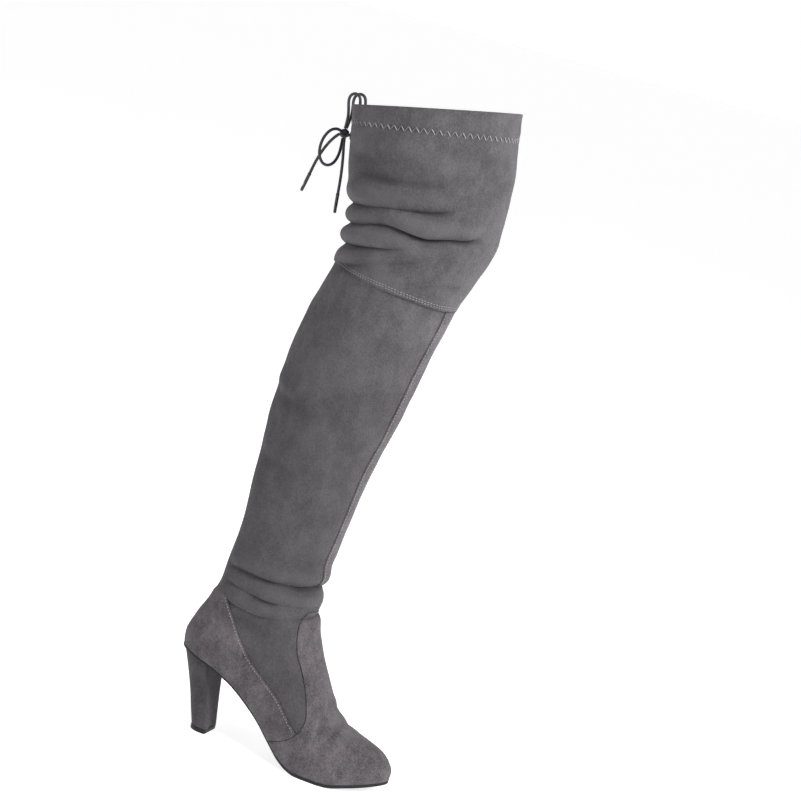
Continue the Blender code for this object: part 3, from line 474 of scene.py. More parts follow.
def through(xs, ys, x):
    """A smooth curve through the points, with no overshoot between them, read at x."""
    last = len(xs) - 1
    steps = [xs[i + 1] - xs[i] for i in range(last)]
    rises = [(ys[i + 1] - ys[i]) / steps[i] for i in range(last)]

    def slope(i):
        if i in (0, last):
            near = 0 if i == 0 else last - 1
            beyond = 1 if i == 0 else last - 2
            total = steps[near] + steps[beyond]
            value = ((2 * steps[near] + steps[beyond]) * rises[near] - steps[near] * rises[beyond]) / total
            if value * rises[near] <= 0:
                return 0.0
            return value if abs(value) < 3 * abs(rises[near]) else 3 * rises[near]
        if rises[i - 1] * rises[i] <= 0:
            return 0.0
        before = 2 * steps[i] + steps[i - 1]
        after = steps[i] + 2 * steps[i - 1]
        return (before + after) / (before / rises[i - 1] + after / rises[i])

    span = max(0, min(last - 1, sum(x >= value for value in xs) - 1))
    t = (x - xs[span]) / steps[span]
    t = max(0.0, min(1.0, t))
    start = ys[span] * (1 + 2 * t) * (1 - t) ** 2 + slope(span) * steps[span] * t * (1 - t) ** 2
    end = ys[span + 1] * t**2 * (3 - 2 * t) + slope(span + 1) * steps[span] * t**2 * (t - 1)
    return start + end


def column(table, name):
    return [getattr(row, name) for row in table]


def mix(a, b, share):
    return a + (b - a) * share


def sole_z(x):
    """The height of the sole's underside, x from the back of the heel."""
    share = x / LAST_LENGTH
    heel = through(column(SOLE_LINE, "along"), column(SOLE_LINE, "heel"), share)
    spring = through(column(SOLE_LINE, "along"), column(SOLE_LINE, "spring"), share)
    return HEEL_HEIGHT * heel + TOE_SPRING * spring


def sole_thickness(x):
    waist, ball = 0.45, 0.62
    shares = [0.0, waist, ball, 1.0]
    return through(shares, [SEAT_THICKNESS, SEAT_THICKNESS, SOLE_THICKNESS, SOLE_THICKNESS], x / LAST_LENGTH)


def feather_z(x):
    """The height of the upper's lower edge."""
    return sole_z(x) + sole_thickness(x) + FIT


def outline(share, side):
    """Half the sole's width on one side, at a share of the last length. Its ends are round."""
    turns = [acos(1 - 2 * row.along) for row in OUTLINE]
    share = max(0.0, min(1.0, share))
    return BALL_WIDTH * through(turns, column(OUTLINE, side), acos(1 - 2 * share))


def foot_section(row):
    back_x = row.seat * LAST_LENGTH
    front_x = row.ridge * LAST_LENGTH
    feather = feather_z(back_x)
    widths = row.outer * BALL_WIDTH, row.inner * BALL_WIDTH
    ends = outline(row.seat, "outer"), outline(row.seat, "inner")
    ridge = feather_z(front_x) + row.crest * INSTEP_HEIGHT
    return Section(front_x, ridge, back_x, feather, *widths, *ends, row.widest, row.blunt)



def leg_section(row, start_x, start_z, length):
    reach_x = row.depth / 2 * cos(radians(row.tilt))
    reach_z = row.depth / 2 * sin(radians(row.tilt))
    middle_x = start_x + row.lean * length
    middle_z = start_z + row.up * length
    front = middle_x + reach_x, middle_z + reach_z
    back = middle_x - reach_x, middle_z - reach_z
    return Section(*front, *back, row.half, row.half, 0.0, 0.0, row.widest, row.blunt)



def counter_section(row, heel, ankle):
    front = row.front * LAST_LENGTH, mix(heel.front_z, ankle.front_z, row.front_up)
    back = row.back * LAST_LENGTH, mix(heel.back_z, ankle.back_z, row.back_up)
    half = row.half * ANKLE_WIDTH
    return Section(*front, *back, half, half, 0.0, 0.0, row.widest, row.blunt)



def all_sections():
    """Every section from toe to collar."""
    foot = [foot_section(row) for row in FOOT]
    leg = [leg_section(row, ANKLE_MIDDLE, ANKLE_HEIGHT, CALF_LENGTH) for row in LEG]
    knee_x = ANKLE_MIDDLE + LEG[-1].lean * CALF_LENGTH
    knee_z = ANKLE_HEIGHT + CALF_LENGTH
    thigh = [leg_section(row, knee_x, knee_z, THIGH_LENGTH) for row in THIGH]
    counter = [counter_section(row, foot[-1], leg[0]) for row in COUNTER]
    return foot + counter + leg + thigh


SECTIONS = all_sections()
KNEE = len(FOOT) + len(COUNTER) + len(LEG) - 1
ANKLE = len(FOOT) + len(COUNTER)
HEEL_BACK = len(FOOT) - 1
COLLAR = len(SECTIONS) - 1


def section_at(along):
    numbers = list(range(len(SECTIONS)))
    values = {}
    for name in Section._fields:
        values[name] = through(numbers, column(SECTIONS, name), along)
    if along <= HEEL_BACK:
        seat = values["back_x"] / LAST_LENGTH
        ends = {"outer_end": outline(seat, "outer"), "inner_end": outline(seat, "inner")}
        values.update(ends, back_z=feather_z(values["back_x"]))
    return Section(**values)


def ease(t):
    """A smooth step from 0 to 1."""
    t = max(0.0, min(1.0, t))
    return t * t * (3 - 2 * t)


@lru_cache(maxsize=None)
def crease_line(crease, around):
    """A crease's height, or its place along the foot, and its strength at a place around."""
    arounds = [place[0] for place in crease.path]
    first, last = arounds[0], arounds[-1]
    spot = (around / CREASE_PATCH, crease.path[0][1] * CREASE_SEEDS[0], crease.depth * CREASE_SEEDS[1])
    strength = 1 + CREASE_UNEVEN * noise.noise(Vector(spot))
    if first > -1:
        strength *= ease((around - first) / CREASE_FADE)
    if last < 1:
        strength *= ease((last - around) / CREASE_FADE)
    if strength == 0:
        return 0.0, 0.0
    return through(arounds, [place[1] for place in crease.path], around), strength


def crease_relief(creases, around, reading, span, depth):
    """How far creases move a place out, and how far they let it droop."""
    out = 0.0
    droop = 0.0
    for crease in creases:
        height, strength = crease_line(crease, around)
        off = (reading - height) * span / crease.width
        if strength == 0 or abs(off) > CREASE_REACH:
            continue
        out -= crease.depth * strength * exp(-((off / (1 if off > 0 else VALLEY)) ** 2))
        for height, (middle, spread) in ((crease.above, SWELL_ABOVE), (crease.below, SWELL_BELOW)):
            out += height * strength * exp(-(((off - middle) / spread) ** 2))
        droop += crease.hang * strength * exp(-((off - DROOP_MIDDLE) ** 2))
    return Vector((out * depth, droop * depth))


def folds(along, around, height):
    """How far the folds of one side move a place out, and down."""
    depth = bpy.context.scene.boot_suede.fold_depth
    moves = crease_relief(LEG_CREASES, around, height, 1.0, depth)
    moves += crease_relief(CUFF_CREASES, around, height, 1.0, depth)
    if along < HEEL_BACK:
        moves += crease_relief(FOOT_CREASES, around, along, FOOT_SPAN, depth)
    return moves


def relief(along, around, point):
    """How far a place of the surface moves out, and down. The sides' folds meet in the middle of the back."""
    moves = folds(along, around, point.z)
    share = ease((abs(around) - BACK_BLEND) / (1 - BACK_BLEND)) / 2
    if share > 0:
        moves = moves.lerp(folds(along, -around, point.z), share)
    if along > HEEL_BACK:
        uneven = ease((along - HEEL_BACK) / 4) * ease((COLLAR - along) / 0.8)
        for size, height in EASE_WAVES:
            moves.x += uneven * height * noise.noise(Vector((point.x, point.y, point.z * 0.8)) / size)
        off = (along - COLLAR + ZIGZAG_BELOW) * BELOW_RIM_SPAN / PINCH_WIDTH
        moves.x -= PINCH_DEPTH * exp(-(off**2))
    return moves.x, moves.y


def skin(along, around, section=None):
    """A place on the upper's outer surface, the way out there, and how far the folds moved it."""
    section = section or section_at(along)
    side = "outer" if around < 0 else "inner"
    half = getattr(section, side)
    end = min(getattr(section, side + "_end"), NARROWEST * half)
    last_turn = pi - asin(end / half) if half > 0 else pi
    turn = last_turn * abs(around)
    chord_x = section.back_x - section.front_x
    chord_z = section.back_z - section.front_z
    if turn <= pi / 2:
        share = section.widest * (1 - cos(turn))
    else:
        share = section.widest + (1 - section.widest) * (cos(turn) / cos(last_turn)) ** section.blunt
    point = Vector((section.front_x + chord_x * share, 0, section.front_z + chord_z * share))
    point.y = half * sin(turn) * (-1 if side == "outer" else 1)
    middle = Vector((section.front_x + chord_x / 2, 0, section.front_z + chord_z / 2))
    out = point - middle
    if out.length > 0:
        out.normalize()
    moved, droop = relief(along, around, point)
    point += out * moved
    point.z -= droop
    point.x -= REST_X
    return point, out, moved


def rows_between(first, last, step):
    """Places along, about one step apart on the surface."""
    places = [first]
    while places[-1] < last - 1e-9:
        start = places[-1]
        stop = min(last, float(int(start) + 1))
        a, b = section_at(start), section_at(stop)
        front = Vector((b.front_x - a.front_x, b.front_z - a.front_z)).length
        back = Vector((b.back_x - a.back_x, b.back_z - a.back_z)).length
        count = max(1, ceil(max(front, back) / step))
        places += [mix(start, stop, number / count) for number in range(1, count + 1)]
    return places


# ---------------------------------------------------------------- mesh helpers


def sheet(row_count, column_count, place):
    """A grid whose corners, by row and column, are sent to places, with what meets welded."""
    bm = bmesh.new()
    bmesh.ops.create_grid(bm, x_segments=column_count, y_segments=row_count, size=0.5)
    rows = bm.verts.layers.int.new("row")
    cols = bm.verts.layers.int.new("col")
    for vert in bm.verts:
        vert[rows] = round((vert.co.y + 0.5) * row_count)
        vert[cols] = round((vert.co.x + 0.5) * column_count)
        vert.co = place(vert[rows], vert[cols])
    return bm


def settle(piece, slot, *nodes):
    """Makes a finished piece ride on the boot and stand for its solids. Its slot is not used."""
    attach(piece, BODY)
    if nodes:
        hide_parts(*nodes)
    return piece


def finish(bm, name, look, sharp=None):
    """Turns a bmesh into a smooth-shaded object."""
    mesh = bpy.data.meshes.new(name)
    bm.to_mesh(mesh)
    bm.free()
    mesh.shade_smooth()
    if sharp is not None:
        mesh.set_sharp_from_angle(angle=radians(sharp))
    mesh.materials.append(look)
    piece = bpy.data.objects.new(name, mesh)
    bpy.context.scene.collection.objects.link(piece)
    return piece


def baked(piece):
    """Applies a piece's modifiers to its mesh."""
    graph = bpy.context.evaluated_depsgraph_get()
    mesh = bpy.data.meshes.new_from_object(piece.evaluated_get(graph))
    piece.modifiers.clear()
    old = piece.data
    piece.data = mesh
    bpy.data.meshes.remove(old)
    piece.data.name = piece.name
    return piece


def wall(piece, thickness, outward):
    modifier = piece.modifiers.new("wall", "SOLIDIFY")
    modifier.thickness = thickness
    modifier.offset = 1 if outward else -1
    modifier.use_rim = True
    return piece


def skin_sheet(first, last, step, columns, lift, left=-1.0, right=1.0):
    """Part of the upper's surface as a fine sheet, lifted along its normals, with how far its folds moved
    each place kept for the suede's painted fold shade and highlight.
    """
    alongs = rows_between(first, last, step)
    sections = [section_at(along) for along in alongs]
    moved = {}

    def place(row, col):
        around = mix(left, right, col / columns)
        point, out, shift = skin(alongs[row], around, sections[row])
        moved[row, col] = shift
        return point

    bm = sheet(len(alongs) - 1, columns, place)
    rows = bm.verts.layers.int["row"]
    cols = bm.verts.layers.int["col"]
    fold = bm.verts.layers.float.new("fold")
    for vert in bm.verts:
        vert[fold] = moved[vert[rows], vert[cols]] * FOLD_SHADE_SCALE
    bmesh.ops.remove_doubles(bm, verts=bm.verts, dist=WELD)
    bm.normal_update()
    top = max(bm.verts, key=lambda vert: vert.co.x + 0.2 * vert.co.z)
    if top.normal.x < 0:
        bmesh.ops.reverse_faces(bm, faces=bm.faces)
        bm.normal_update()
    for vert, spot in [(vert, vert.co + vert.normal * lift) for vert in bm.verts]:
        vert.co = spot
    return bm


# ---------------------------------------------------------------- materials


class Field:
    """A number that changes over a surface. Sums and products of fields make Math nodes."""

    def __init__(self, shader, socket):
        self.shader = shader
        self.socket = socket

    def math(self, operation, *values):
        inputs = dict(enumerate(values))
        return self.shader.node("ShaderNodeMath", {"operation": operation}, inputs)

    def __add__(self, other):
        return self.math("ADD", self, other)

    def __sub__(self, other):
        return self.math("SUBTRACT", self, other)

    def __rsub__(self, other):
        return self.math("SUBTRACT", other, self)

    def __mul__(self, other):
        return self.math("MULTIPLY", self, other)

    __radd__ = __add__
    __rmul__ = __mul__

    def sine(self):
        return self.math("SINE", self)

    def clamped(self, low, high):
        """Spreads what lies from low to high over 0 to 1."""
        settings = {"interpolation_type": "SMOOTHSTEP"}
        values = {"Value": self, "From Min": low, "From Max": high}
        return self.shader.node("ShaderNodeMapRange", settings, values)


class Shader:
    """One material and its nodes."""

    def __init__(self, name, roughness=0.5, metallic=0.0):
        self.material = bpy.data.materials.new(name)
        self.material.use_nodes = True
        self.tree = self.material.node_tree
        self.surface = self.tree.nodes["Principled BSDF"]
        self.set(Roughness=roughness, Metallic=metallic)

    def link(self, value, socket):
        if isinstance(value, Field):
            self.tree.links.new(value.socket, socket)
        elif hasattr(value, "__len__") and len(value) == 3 and len(socket.default_value) == 4:
            socket.default_value = (*value, 1)
        else:
            socket.default_value = value

    def node(self, kind, settings=None, values=None, output=0):
        made = self.tree.nodes.new(kind)
        for name, value in (settings or {}).items():
            setattr(made, name, value)
        for name, value in (values or {}).items():
            self.link(value, made.inputs[name])
        return Field(self, made.outputs[output])

    def set(self, **values):
        for name, value in values.items():
            self.link(value, self.surface.inputs[name.replace("_", " ")])

    def place(self):
        return self.node("ShaderNodeTexCoord", output="Object")

    def attribute(self, name):
        return self.node("ShaderNodeAttribute", {"attribute_name": name}, output="Fac")

    def noise(self, place, size, detail=3.0, roughness=0.55):
        values = {"Vector": place, "Scale": 1 / size, "Detail": detail, "Roughness": roughness}
        return self.node("ShaderNodeTexNoise", values=values)

    def stretched(self, place, scale):
        return self.node("ShaderNodeMapping", values={"Vector": place, "Scale": scale})

    def blend(self, share, dark, light):
        settings = {"data_type": "RGBA"}
        return self.node("ShaderNodeMix", settings, {0: share, 6: dark, 7: light}, output=2)

    def bump(self, height, distance, strength=1.0):
        values = {"Height": height, "Distance": distance, "Strength": strength}
        self.set(Normal=self.node("ShaderNodeBump", values=values))


def scaled(colour, factor):
    return tuple(channel * factor for channel in colour)


def suede(name, colour, fold_shaded=True, painted_calf_shade=0.0, patchy=1.0):
    """Short brushed nap: soft patches and a fine grain, with a painted highlight on fold ridges, painted
    shade in the creases and, where asked, painted shade darker towards the bottom of the leg.
    """
    settings = bpy.context.scene.boot_suede
    shader = Shader(name, roughness=0.92)
    place = shader.place()
    patches = shader.noise(place, 0.034, detail=3.0).clamped(0.36, 0.64)
    strokes = shader.noise(shader.stretched(place, (1.0, 1.0, 0.6)), 0.010, detail=4.0, roughness=0.65)
    grain = shader.noise(place, settings.nap, detail=2.0, roughness=0.7).clamped(0.30, 0.70)
    tone = patches * 0.30 + strokes.clamped(0.36, 0.66) * 0.26 + grain * 0.44
    spread = min(0.9, settings.mottling * patchy)
    colour = tuple(colour)
    base = shader.blend(tone, scaled(colour, 1 - spread), scaled(colour, 1 + spread))
    # Painted light from the folds: a painted highlight where the ridges swell out, painted shade in the
    # creases' valleys.
    if fold_shaded:
        fold = shader.attribute("fold")
        base = shader.blend(fold.clamped(0.0, 1.0) * 0.5, base, scaled(colour, 1.35))
        base = shader.blend(fold.clamped(-0.05, -1.2), base, scaled(colour, 0.40))
    # Painted shade: the suede darkens from 0.47 m in height downward, fully below 0.36 m, for the shade on
    # the lower leg, ankle and foot.
    if painted_calf_shade:
        height = shader.node("ShaderNodeSeparateXYZ", values={"Vector": place}, output="Z")
        calf_shade_mask = height.clamped(0.47, 0.36) * painted_calf_shade
        base = shader.blend(calf_shade_mask, base, scaled(colour, 0.4))
    shader.set(Base_Color=base, Sheen_Weight=0.16, Sheen_Roughness=0.5, Specular_IOR_Level=0.10)
    shader.set(Sheen_Tint=(0.80, 0.78, 0.82))
    shader.bump(grain * 0.6 + strokes * 0.5, 0.0010, 0.7)
    return shader.material


def rubber(name):
    shader = Shader(name)
    place = shader.place()
    dust = shader.noise(place, 0.012, detail=4.0)
    colour = tuple(bpy.context.scene.boot_trim.rubber_colour)
    shader.set(Base_Color=shader.blend(dust.clamped(0.45, 0.75), colour, scaled(colour, 1.6)))
    shader.set(Roughness=dust * 0.2 + 0.45, Specular_IOR_Level=0.3)
    shader.bump(shader.noise(place, 0.0009, detail=2.0), 0.0002, 0.4)
    return shader.material


def lining(name):
    """A fine ribbed knit."""
    shader = Shader(name, roughness=0.9)
    place = shader.place()
    knit = shader.node("ShaderNodeTexWave", {"wave_type": "BANDS", "bands_direction": "Z"},
                       {"Vector": place, "Scale": 260.0, "Distortion": 1.2, "Detail": 1.0}, output="Fac")
    fuzz = shader.noise(place, 0.0016)
    colour = tuple(bpy.context.scene.boot_trim.lining_colour)
    shader.set(Base_Color=shader.blend(knit * 0.5 + fuzz * 0.5, scaled(colour, 0.8), scaled(colour, 1.3)))
    shader.bump(knit, 0.0003, 0.5)
    return shader.material


def braid(name):
    """Round braided cord: strands that cross, followed along the cord."""
    shader = Shader(name)
    run = shader.attribute("run") * 2300.0
    turn = shader.node("ShaderNodeMath", {"operation": "ARCTAN2"},
                       {0: shader.attribute("across"), 1: shader.attribute("level")})
    over = (run + turn * 4.0).sine()
    under = (run - turn * 4.0).sine()
    strands = over * under * 0.5 + 0.5
    colour = tuple(bpy.context.scene.boot_trim.cord_colour)
    shader.set(Base_Color=shader.blend(strands, scaled(colour, 0.7), scaled(colour, 2.6)))
    shader.set(Roughness=0.42 - strands * 0.12, Sheen_Weight=0.15)
    shader.bump(strands, 0.00025, 0.6)
    return shader.material


def thread(name, colour):
    shader = Shader(name, roughness=0.7)
    twist = shader.noise(shader.place(), 0.0006)
    shader.set(Base_Color=shader.blend(twist, scaled(colour, 0.8), scaled(colour, 1.2)))
    return shader.material


def tip_plastic(name):
    """Black end sleeve with rubbed silvery patches."""
    shader = Shader(name, roughness=0.28)
    streaks = shader.stretched(shader.place(), (1.0, 1.0, 0.4))
    worn = shader.noise(streaks, 0.0025, detail=3.0).clamped(0.60, 0.68)
    shader.set(Base_Color=shader.blend(worn, (0.012, 0.012, 0.014), (0.42, 0.42, 0.44)), Metallic=worn)
    return shader.material


def black_metal(name):
    shader = Shader(name, metallic=0.6)
    wear = shader.noise(shader.place(), 0.0014)
    shader.set(Base_Color=shader.blend(wear, (0.014, 0.014, 0.015), (0.05, 0.05, 0.052)))
    shader.set(Roughness=wear * 0.3 + 0.2)
    return shader.material


def pale_floor(name, colour, glow):
    shader = Shader(name, roughness=0.75)
    cloud = shader.noise(shader.place(), 0.9, detail=3.0).clamped(0.3, 0.7)
    shader.set(Base_Color=shader.blend(cloud, scaled(colour, 0.97), colour))
    shader.set(Emission_Color=(1.0, 1.0, 1.0), Emission_Strength=glow)
    return shader.material


@lru_cache(maxsize=None)
def look(kind):
    """Each material is made once."""
    scene = bpy.context.scene
    makers = {
        # The leg's suede, with painted shade darker towards the bottom of the leg.
        "suede": lambda: suede("suede", scene.boot_suede.leg_colour, painted_calf_shade=0.30),
        "suede_panel": lambda: suede("suede_panel", scene.boot_suede.panel_colour, patchy=1.5),
        # The heel cover is the panel suede at 0.6 of its colour, as painted shade under the foot, with no
        # fold shading.
        "suede_heel": lambda: suede("suede_heel", scaled(tuple(scene.boot_suede.panel_colour), 0.6),
                                    fold_shaded=False),
        "rubber": lambda: rubber("black_rubber"),
        "lining": lambda: lining("knit_lining"),
        "cord": lambda: braid("braided_cord"),
        "light_thread": lambda: thread("light_thread", tuple(scene.boot_stitch.colour)),
        "dark_thread": lambda: thread("dark_thread", scaled(tuple(scene.boot_stitch.colour), 0.30)),
        "tip": lambda: tip_plastic("tip_sleeve"),
        "eyelet": lambda: black_metal("eyelet_metal"),
    }
    return makers[kind]()


# ---------------------------------------------------------------- cords

def curve_point(places, number, t):
    """A place on the smooth curve between one place of a route and the next."""
    before = places[max(0, number - 1)]
    start, end = places[number], places[number + 1]
    after = places[min(len(places) - 1, number + 2)]
    leave, arrive = (end - before) / 2, (after - start) / 2
    bent = start * (1 + 2 * t) * (1 - t) ** 2 + leave * t * (1 - t) ** 2
    return bent + end * t**2 * (3 - 2 * t) + arrive * t**2 * (t - 1)


def bow_place():
    """The middle of the cuff's back, at the eyelets' height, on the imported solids."""
    section = section_at(mix(COLLAR - 2, COLLAR, EYELET_ALONG))
    return Vector((section.back_x - REST_X - FIT - WALL, 0, section.back_z))


def route_points(route, step):
    """Even steps along the smooth curve through a route's places."""
    fine_steps = 12
    places = [bow_place() + Vector(place) for place in route]
    fine = []
    for number in range(len(places) - 1):
        fine += [curve_point(places, number, part / fine_steps) for part in range(fine_steps)]
    fine.append(places[-1])
    return even_points(fine, step)


def even_points(line, step):
    """Places at even steps along a line of at least two places."""
    lengths = [0.0]
    for a, b in zip(line, line[1:]):
        lengths.append(lengths[-1] + (b - a).length)
    count = max(2, round(lengths[-1] / step))
    points = []
    span = 0
    for number in range(count + 1):
        reach = lengths[-1] * number / count
        while span < len(line) - 2 and lengths[span + 1] < reach:
            span += 1
        share = (reach - lengths[span]) / (lengths[span + 1] - lengths[span])
        points.append(line[span].lerp(line[span + 1], min(1.0, share)))
    return points


def softened(points):
    """A line with its sharpest bends eased, its ends kept."""
    for turn in range(BEND_ROUNDS):
        middles = [before.lerp(after, 0.5) for before, after in zip(points, points[2:])]
        eased = [point.lerp(middle, 0.5) for point, middle in zip(points[1:], middles)]
        points = [points[0], *eased, points[-1]]
    return points


def line_length(points):
    return sum((b - a).length for a, b in zip(points, points[1:]))


def tube(points, radius, closed=False, sides=CORD_SIDES, squash=1.0):
    """A round tube along points, with each place's run along it and its way round kept for the braid."""
    count = len(points)
    turns = []
    across = Vector((0, 1, 0))
    for number in range(count):
        if closed:
            heading = (points[(number + 1) % count] - points[number - 1]).normalized()
        else:
            heading = (points[min(count - 1, number + 1)] - points[max(0, number - 1)]).normalized()
        across = (across - heading * across.dot(heading)).normalized()
        turns.append((across.copy(), heading.cross(across).normalized()))
    rows = count if closed else count - 1

    def place(row, col):
        side, up = turns[row % count]
        angle = 2 * pi * col / sides
        return points[row % count] + side * (radius * cos(angle)) + up * (radius * squash * sin(angle))

    bm = sheet(rows, sides, place)
    row_layer = bm.verts.layers.int["row"]
    col_layer = bm.verts.layers.int["col"]
    run = bm.verts.layers.float.new("run")
    level = bm.verts.layers.float.new("level")
    crosswise = bm.verts.layers.float.new("across")
    step = line_length(points) / max(1, count - 1)
    for vert in bm.verts:
        vert[run] = vert[row_layer] * step
        vert[level] = cos(2 * pi * vert[col_layer] / sides)
        vert[crosswise] = sin(2 * pi * vert[col_layer] / sides)
    bmesh.ops.remove_doubles(bm, verts=bm.verts, dist=WELD)
    if not closed:
        bmesh.ops.holes_fill(bm, edges=[edge for edge in bm.edges if edge.is_boundary], sides=0)
    bmesh.ops.recalc_face_normals(bm, faces=bm.faces)
    return bm


def joined(meshes):
    """One bmesh from several."""
    whole = bmesh.new()
    for bm in meshes:
        part = bpy.data.meshes.new("part")
        bm.to_mesh(part)
        bm.free()
        whole.from_mesh(part)
        bpy.data.meshes.remove(part)
    return whole


def make_knot():
    """Two turns of the cord round the bow's crossing, with a strand over them."""
    middle = bow_place() + KNOT_PLACE
    strands = []
    for shift, tilt in ((-0.0021, 0.30), (0.0021, -0.22)):
        ring = []
        for number in range(RING_COLUMNS):
            turn = 2 * pi * number / RING_COLUMNS
            spot = Vector((0.0030 * cos(turn), shift + tilt * 0.0030 * sin(turn), 0.0031 * sin(turn)))
            ring.append(middle + spot)
        strands.append(tube(ring, KNOT_STRAND, closed=True))
    band = []
    for number in range(RING_COLUMNS):
        turn = 2 * pi * number / RING_COLUMNS
        spot = Vector((-0.0004 + 0.0026 * cos(turn), 0.0034 * sin(turn), 0.0016 * sin(turn)))
        band.append(middle + spot)
    strands.append(tube(band, KNOT_STRAND * 1.15, closed=True))
    return finish(joined(strands), "bow_knot", look("cord"))


def make_tip(name, route):
    """The tight sleeve on a cord's end, with its rolled rim."""
    end = bow_place() + Vector(route[-1])
    heading = (Vector(route[-1]) - Vector(route[-2])).normalized()
    bm = bmesh.new()
    profile = [(0.0, 0.0), (0.8, 0.0), (0.98, 0.03), (1.0, 0.07), (0.90, 0.10), (0.92, 0.5), (0.86, 0.9),
               (0.74, 0.98), (0.0, 1.0)]
    verts = [bm.verts.new((TIP_RADIUS * reach, 0, TIP_LENGTH * run)) for reach, run in profile]
    edges = [bm.edges.new(pair) for pair in zip(verts, verts[1:])]
    bmesh.ops.spin(bm, geom=verts + edges, cent=(0, 0, 0), axis=(0, 0, 1), angle=2 * pi,
                   steps=TIP_COLUMNS, use_merge=True)
    bmesh.ops.remove_doubles(bm, verts=bm.verts, dist=WELD)
    bmesh.ops.recalc_face_normals(bm, faces=bm.faces)
    turn = heading.to_track_quat("Z", "Y").to_matrix().to_4x4()
    bmesh.ops.transform(bm, matrix=Matrix.Translation(end) @ turn, verts=bm.verts)
    return finish(bm, name, look("tip"), sharp=40)


# ---------------------------------------------------------------- seams and stitches


def surface_tree(piece):
    return BVHTree.FromObject(piece, bpy.context.evaluated_depsgraph_get())


def seated(tree, line):
    """The nearest places on a surface to a line's, each with the way out."""
    seats = []
    for point in line:
        spot, normal, face, gap = tree.find_nearest(point)
        if normal.dot(point - spot) < 0:
            normal = -normal
        seats.append((spot, normal))
    return seats


def smooth_line(places):
    """A smooth line through flat places, in the side view."""
    steps = 8
    line = []
    for number in range(len(places) - 1):
        line += [curve_point(places, number, part / steps) for part in range(steps)]
    return line + [places[-1]]


def seam_line(seam):
    """A seam in the side view, x from the heel's rest."""
    places = []
    for point in seam:
        x = point.along * LAST_LENGTH
        places.append(Vector((x - REST_X, 0, sole_z(x) + point.up * INSTEP_HEIGHT)))
    return smooth_line(places)


def shifted(line, distance):
    """A side-view line moved sideways, to its left for a distance above 0."""
    moved = []
    for number, point in enumerate(line):
        before = line[max(0, number - 1)]
        after = line[min(len(line) - 1, number + 1)]
        heading = (after - before).normalized()
        moved.append(point + Vector((-heading.z, 0, heading.x)) * distance)
    return moved


def side_seats(tree, line, side):
    """Where a side-view line lies on one side of a surface: -1 is the outer side."""
    seats = []
    for point in line:
        origin = Vector((point.x, side * 0.2, point.z))
        spot, normal, face, gap = tree.ray_cast(origin, Vector((0, -side, 0)))
        if spot is not None:
            seats.append((spot, normal if normal.y * side > 0 else -normal))
    return seats


def stitch(bm, start, end, normal, radius):
    """One stitch: a short rounded strand that lies on the surface."""
    heading = (end - start).normalized()
    across = normal.cross(heading).normalized()
    up = heading.cross(across)
    turn = Matrix((across, up, heading)).transposed().to_4x4()
    size = Matrix.Diagonal((radius, radius * 0.9, (end - start).length / 2, 1))
    centre = (start + end) / 2 + normal * radius * 0.35
    bmesh.ops.create_uvsphere(
        bm, u_segments=STITCH_SIDES, v_segments=STITCH_RINGS, radius=1,
        matrix=Matrix.Translation(centre) @ turn @ size,
    )


def stitch_row(bm, seats):
    """Even stitches along a line of seats."""
    settings = bpy.context.scene.boot_stitch
    points = even_points([spot for spot, normal in seats], SEAT_STEP)
    normals = [normal for spot, normal in seats]
    pitch = round(settings.pitch / SEAT_STEP)
    length = round(settings.length / SEAT_STEP)
    for start in range(0, len(points) - length, pitch):
        share = (start + length / 2) / len(points)
        normal = normals[min(len(normals) - 1, int(share * len(normals)))]
        stitch(bm, points[start], points[start + length], normal, settings.radius)


# ---------------------------------------------------------------- pieces


def make_upper_suede():
    bm = skin_sheet(0, KNEE + LAP, UPPER_STEP, UPPER_COLUMNS, 0.0)
    return wall(finish(bm, "upper_suede", look("suede")), WALL, False)


def make_cuff_suede():
    bm = skin_sheet(KNEE, COLLAR, CUFF_STEP, CUFF_COLUMNS, FIT)
    return wall(finish(bm, "cuff_suede", look("suede")), WALL, True)


def make_hem():
    """The knitted elastic inside the collar."""
    bm = skin_sheet(COLLAR - 1.0, COLLAR - 0.02, CUFF_STEP, CUFF_COLUMNS, 0.0)
    return wall(finish(bm, "hem_elastic", look("lining")), HEM_THICKNESS, False)


def make_strip_suede():
    bm = skin_sheet(ANKLE + STRIP_TUCK, KNEE - STRIP_END, UPPER_STEP, 14, FIT, -STRIP_HALF, STRIP_HALF)
    return wall(finish(bm, "strip_suede", look("suede_panel")), PANEL, True)


def cutter(name, places):
    """A block that runs across the whole foot, from its outline seen from the side."""
    bm = bmesh.new()
    verts = [bm.verts.new((point.x, -CUTTER_REACH, point.z)) for point in places]
    face = bm.faces.new(verts)
    made = bmesh.ops.extrude_face_region(bm, geom=[face])
    moved = [item for item in made["geom"] if isinstance(item, bmesh.types.BMVert)]
    bmesh.ops.translate(bm, verts=moved, vec=(0, 2 * CUTTER_REACH, 0))
    bmesh.ops.recalc_face_normals(bm, faces=bm.faces)
    return finish(bm, name, look("suede_panel"))


def cut_panel(name, outline_places, sinks=False):
    """A panel over the upper, kept only inside its outline in the side view."""
    bm = skin_sheet(0, ANKLE + 0.4, PANEL_STEP, UPPER_COLUMNS, FIT)
    if sinks:
        for vert in bm.verts:
            vert.co -= vert.normal * SINK * ease((vert.co.z - SINK_FROM) / SINK_SPAN)
    piece = wall(finish(bm, name, look("suede_panel")), PANEL, True)
    block = cutter(name + "_block", outline_places)
    cut = piece.modifiers.new("cut", "BOOLEAN")
    cut.operation = "INTERSECT"
    cut.solver = "EXACT"
    cut.use_self = True
    cut.object = block
    baked(piece)
    bpy.data.objects.remove(block)
    return piece


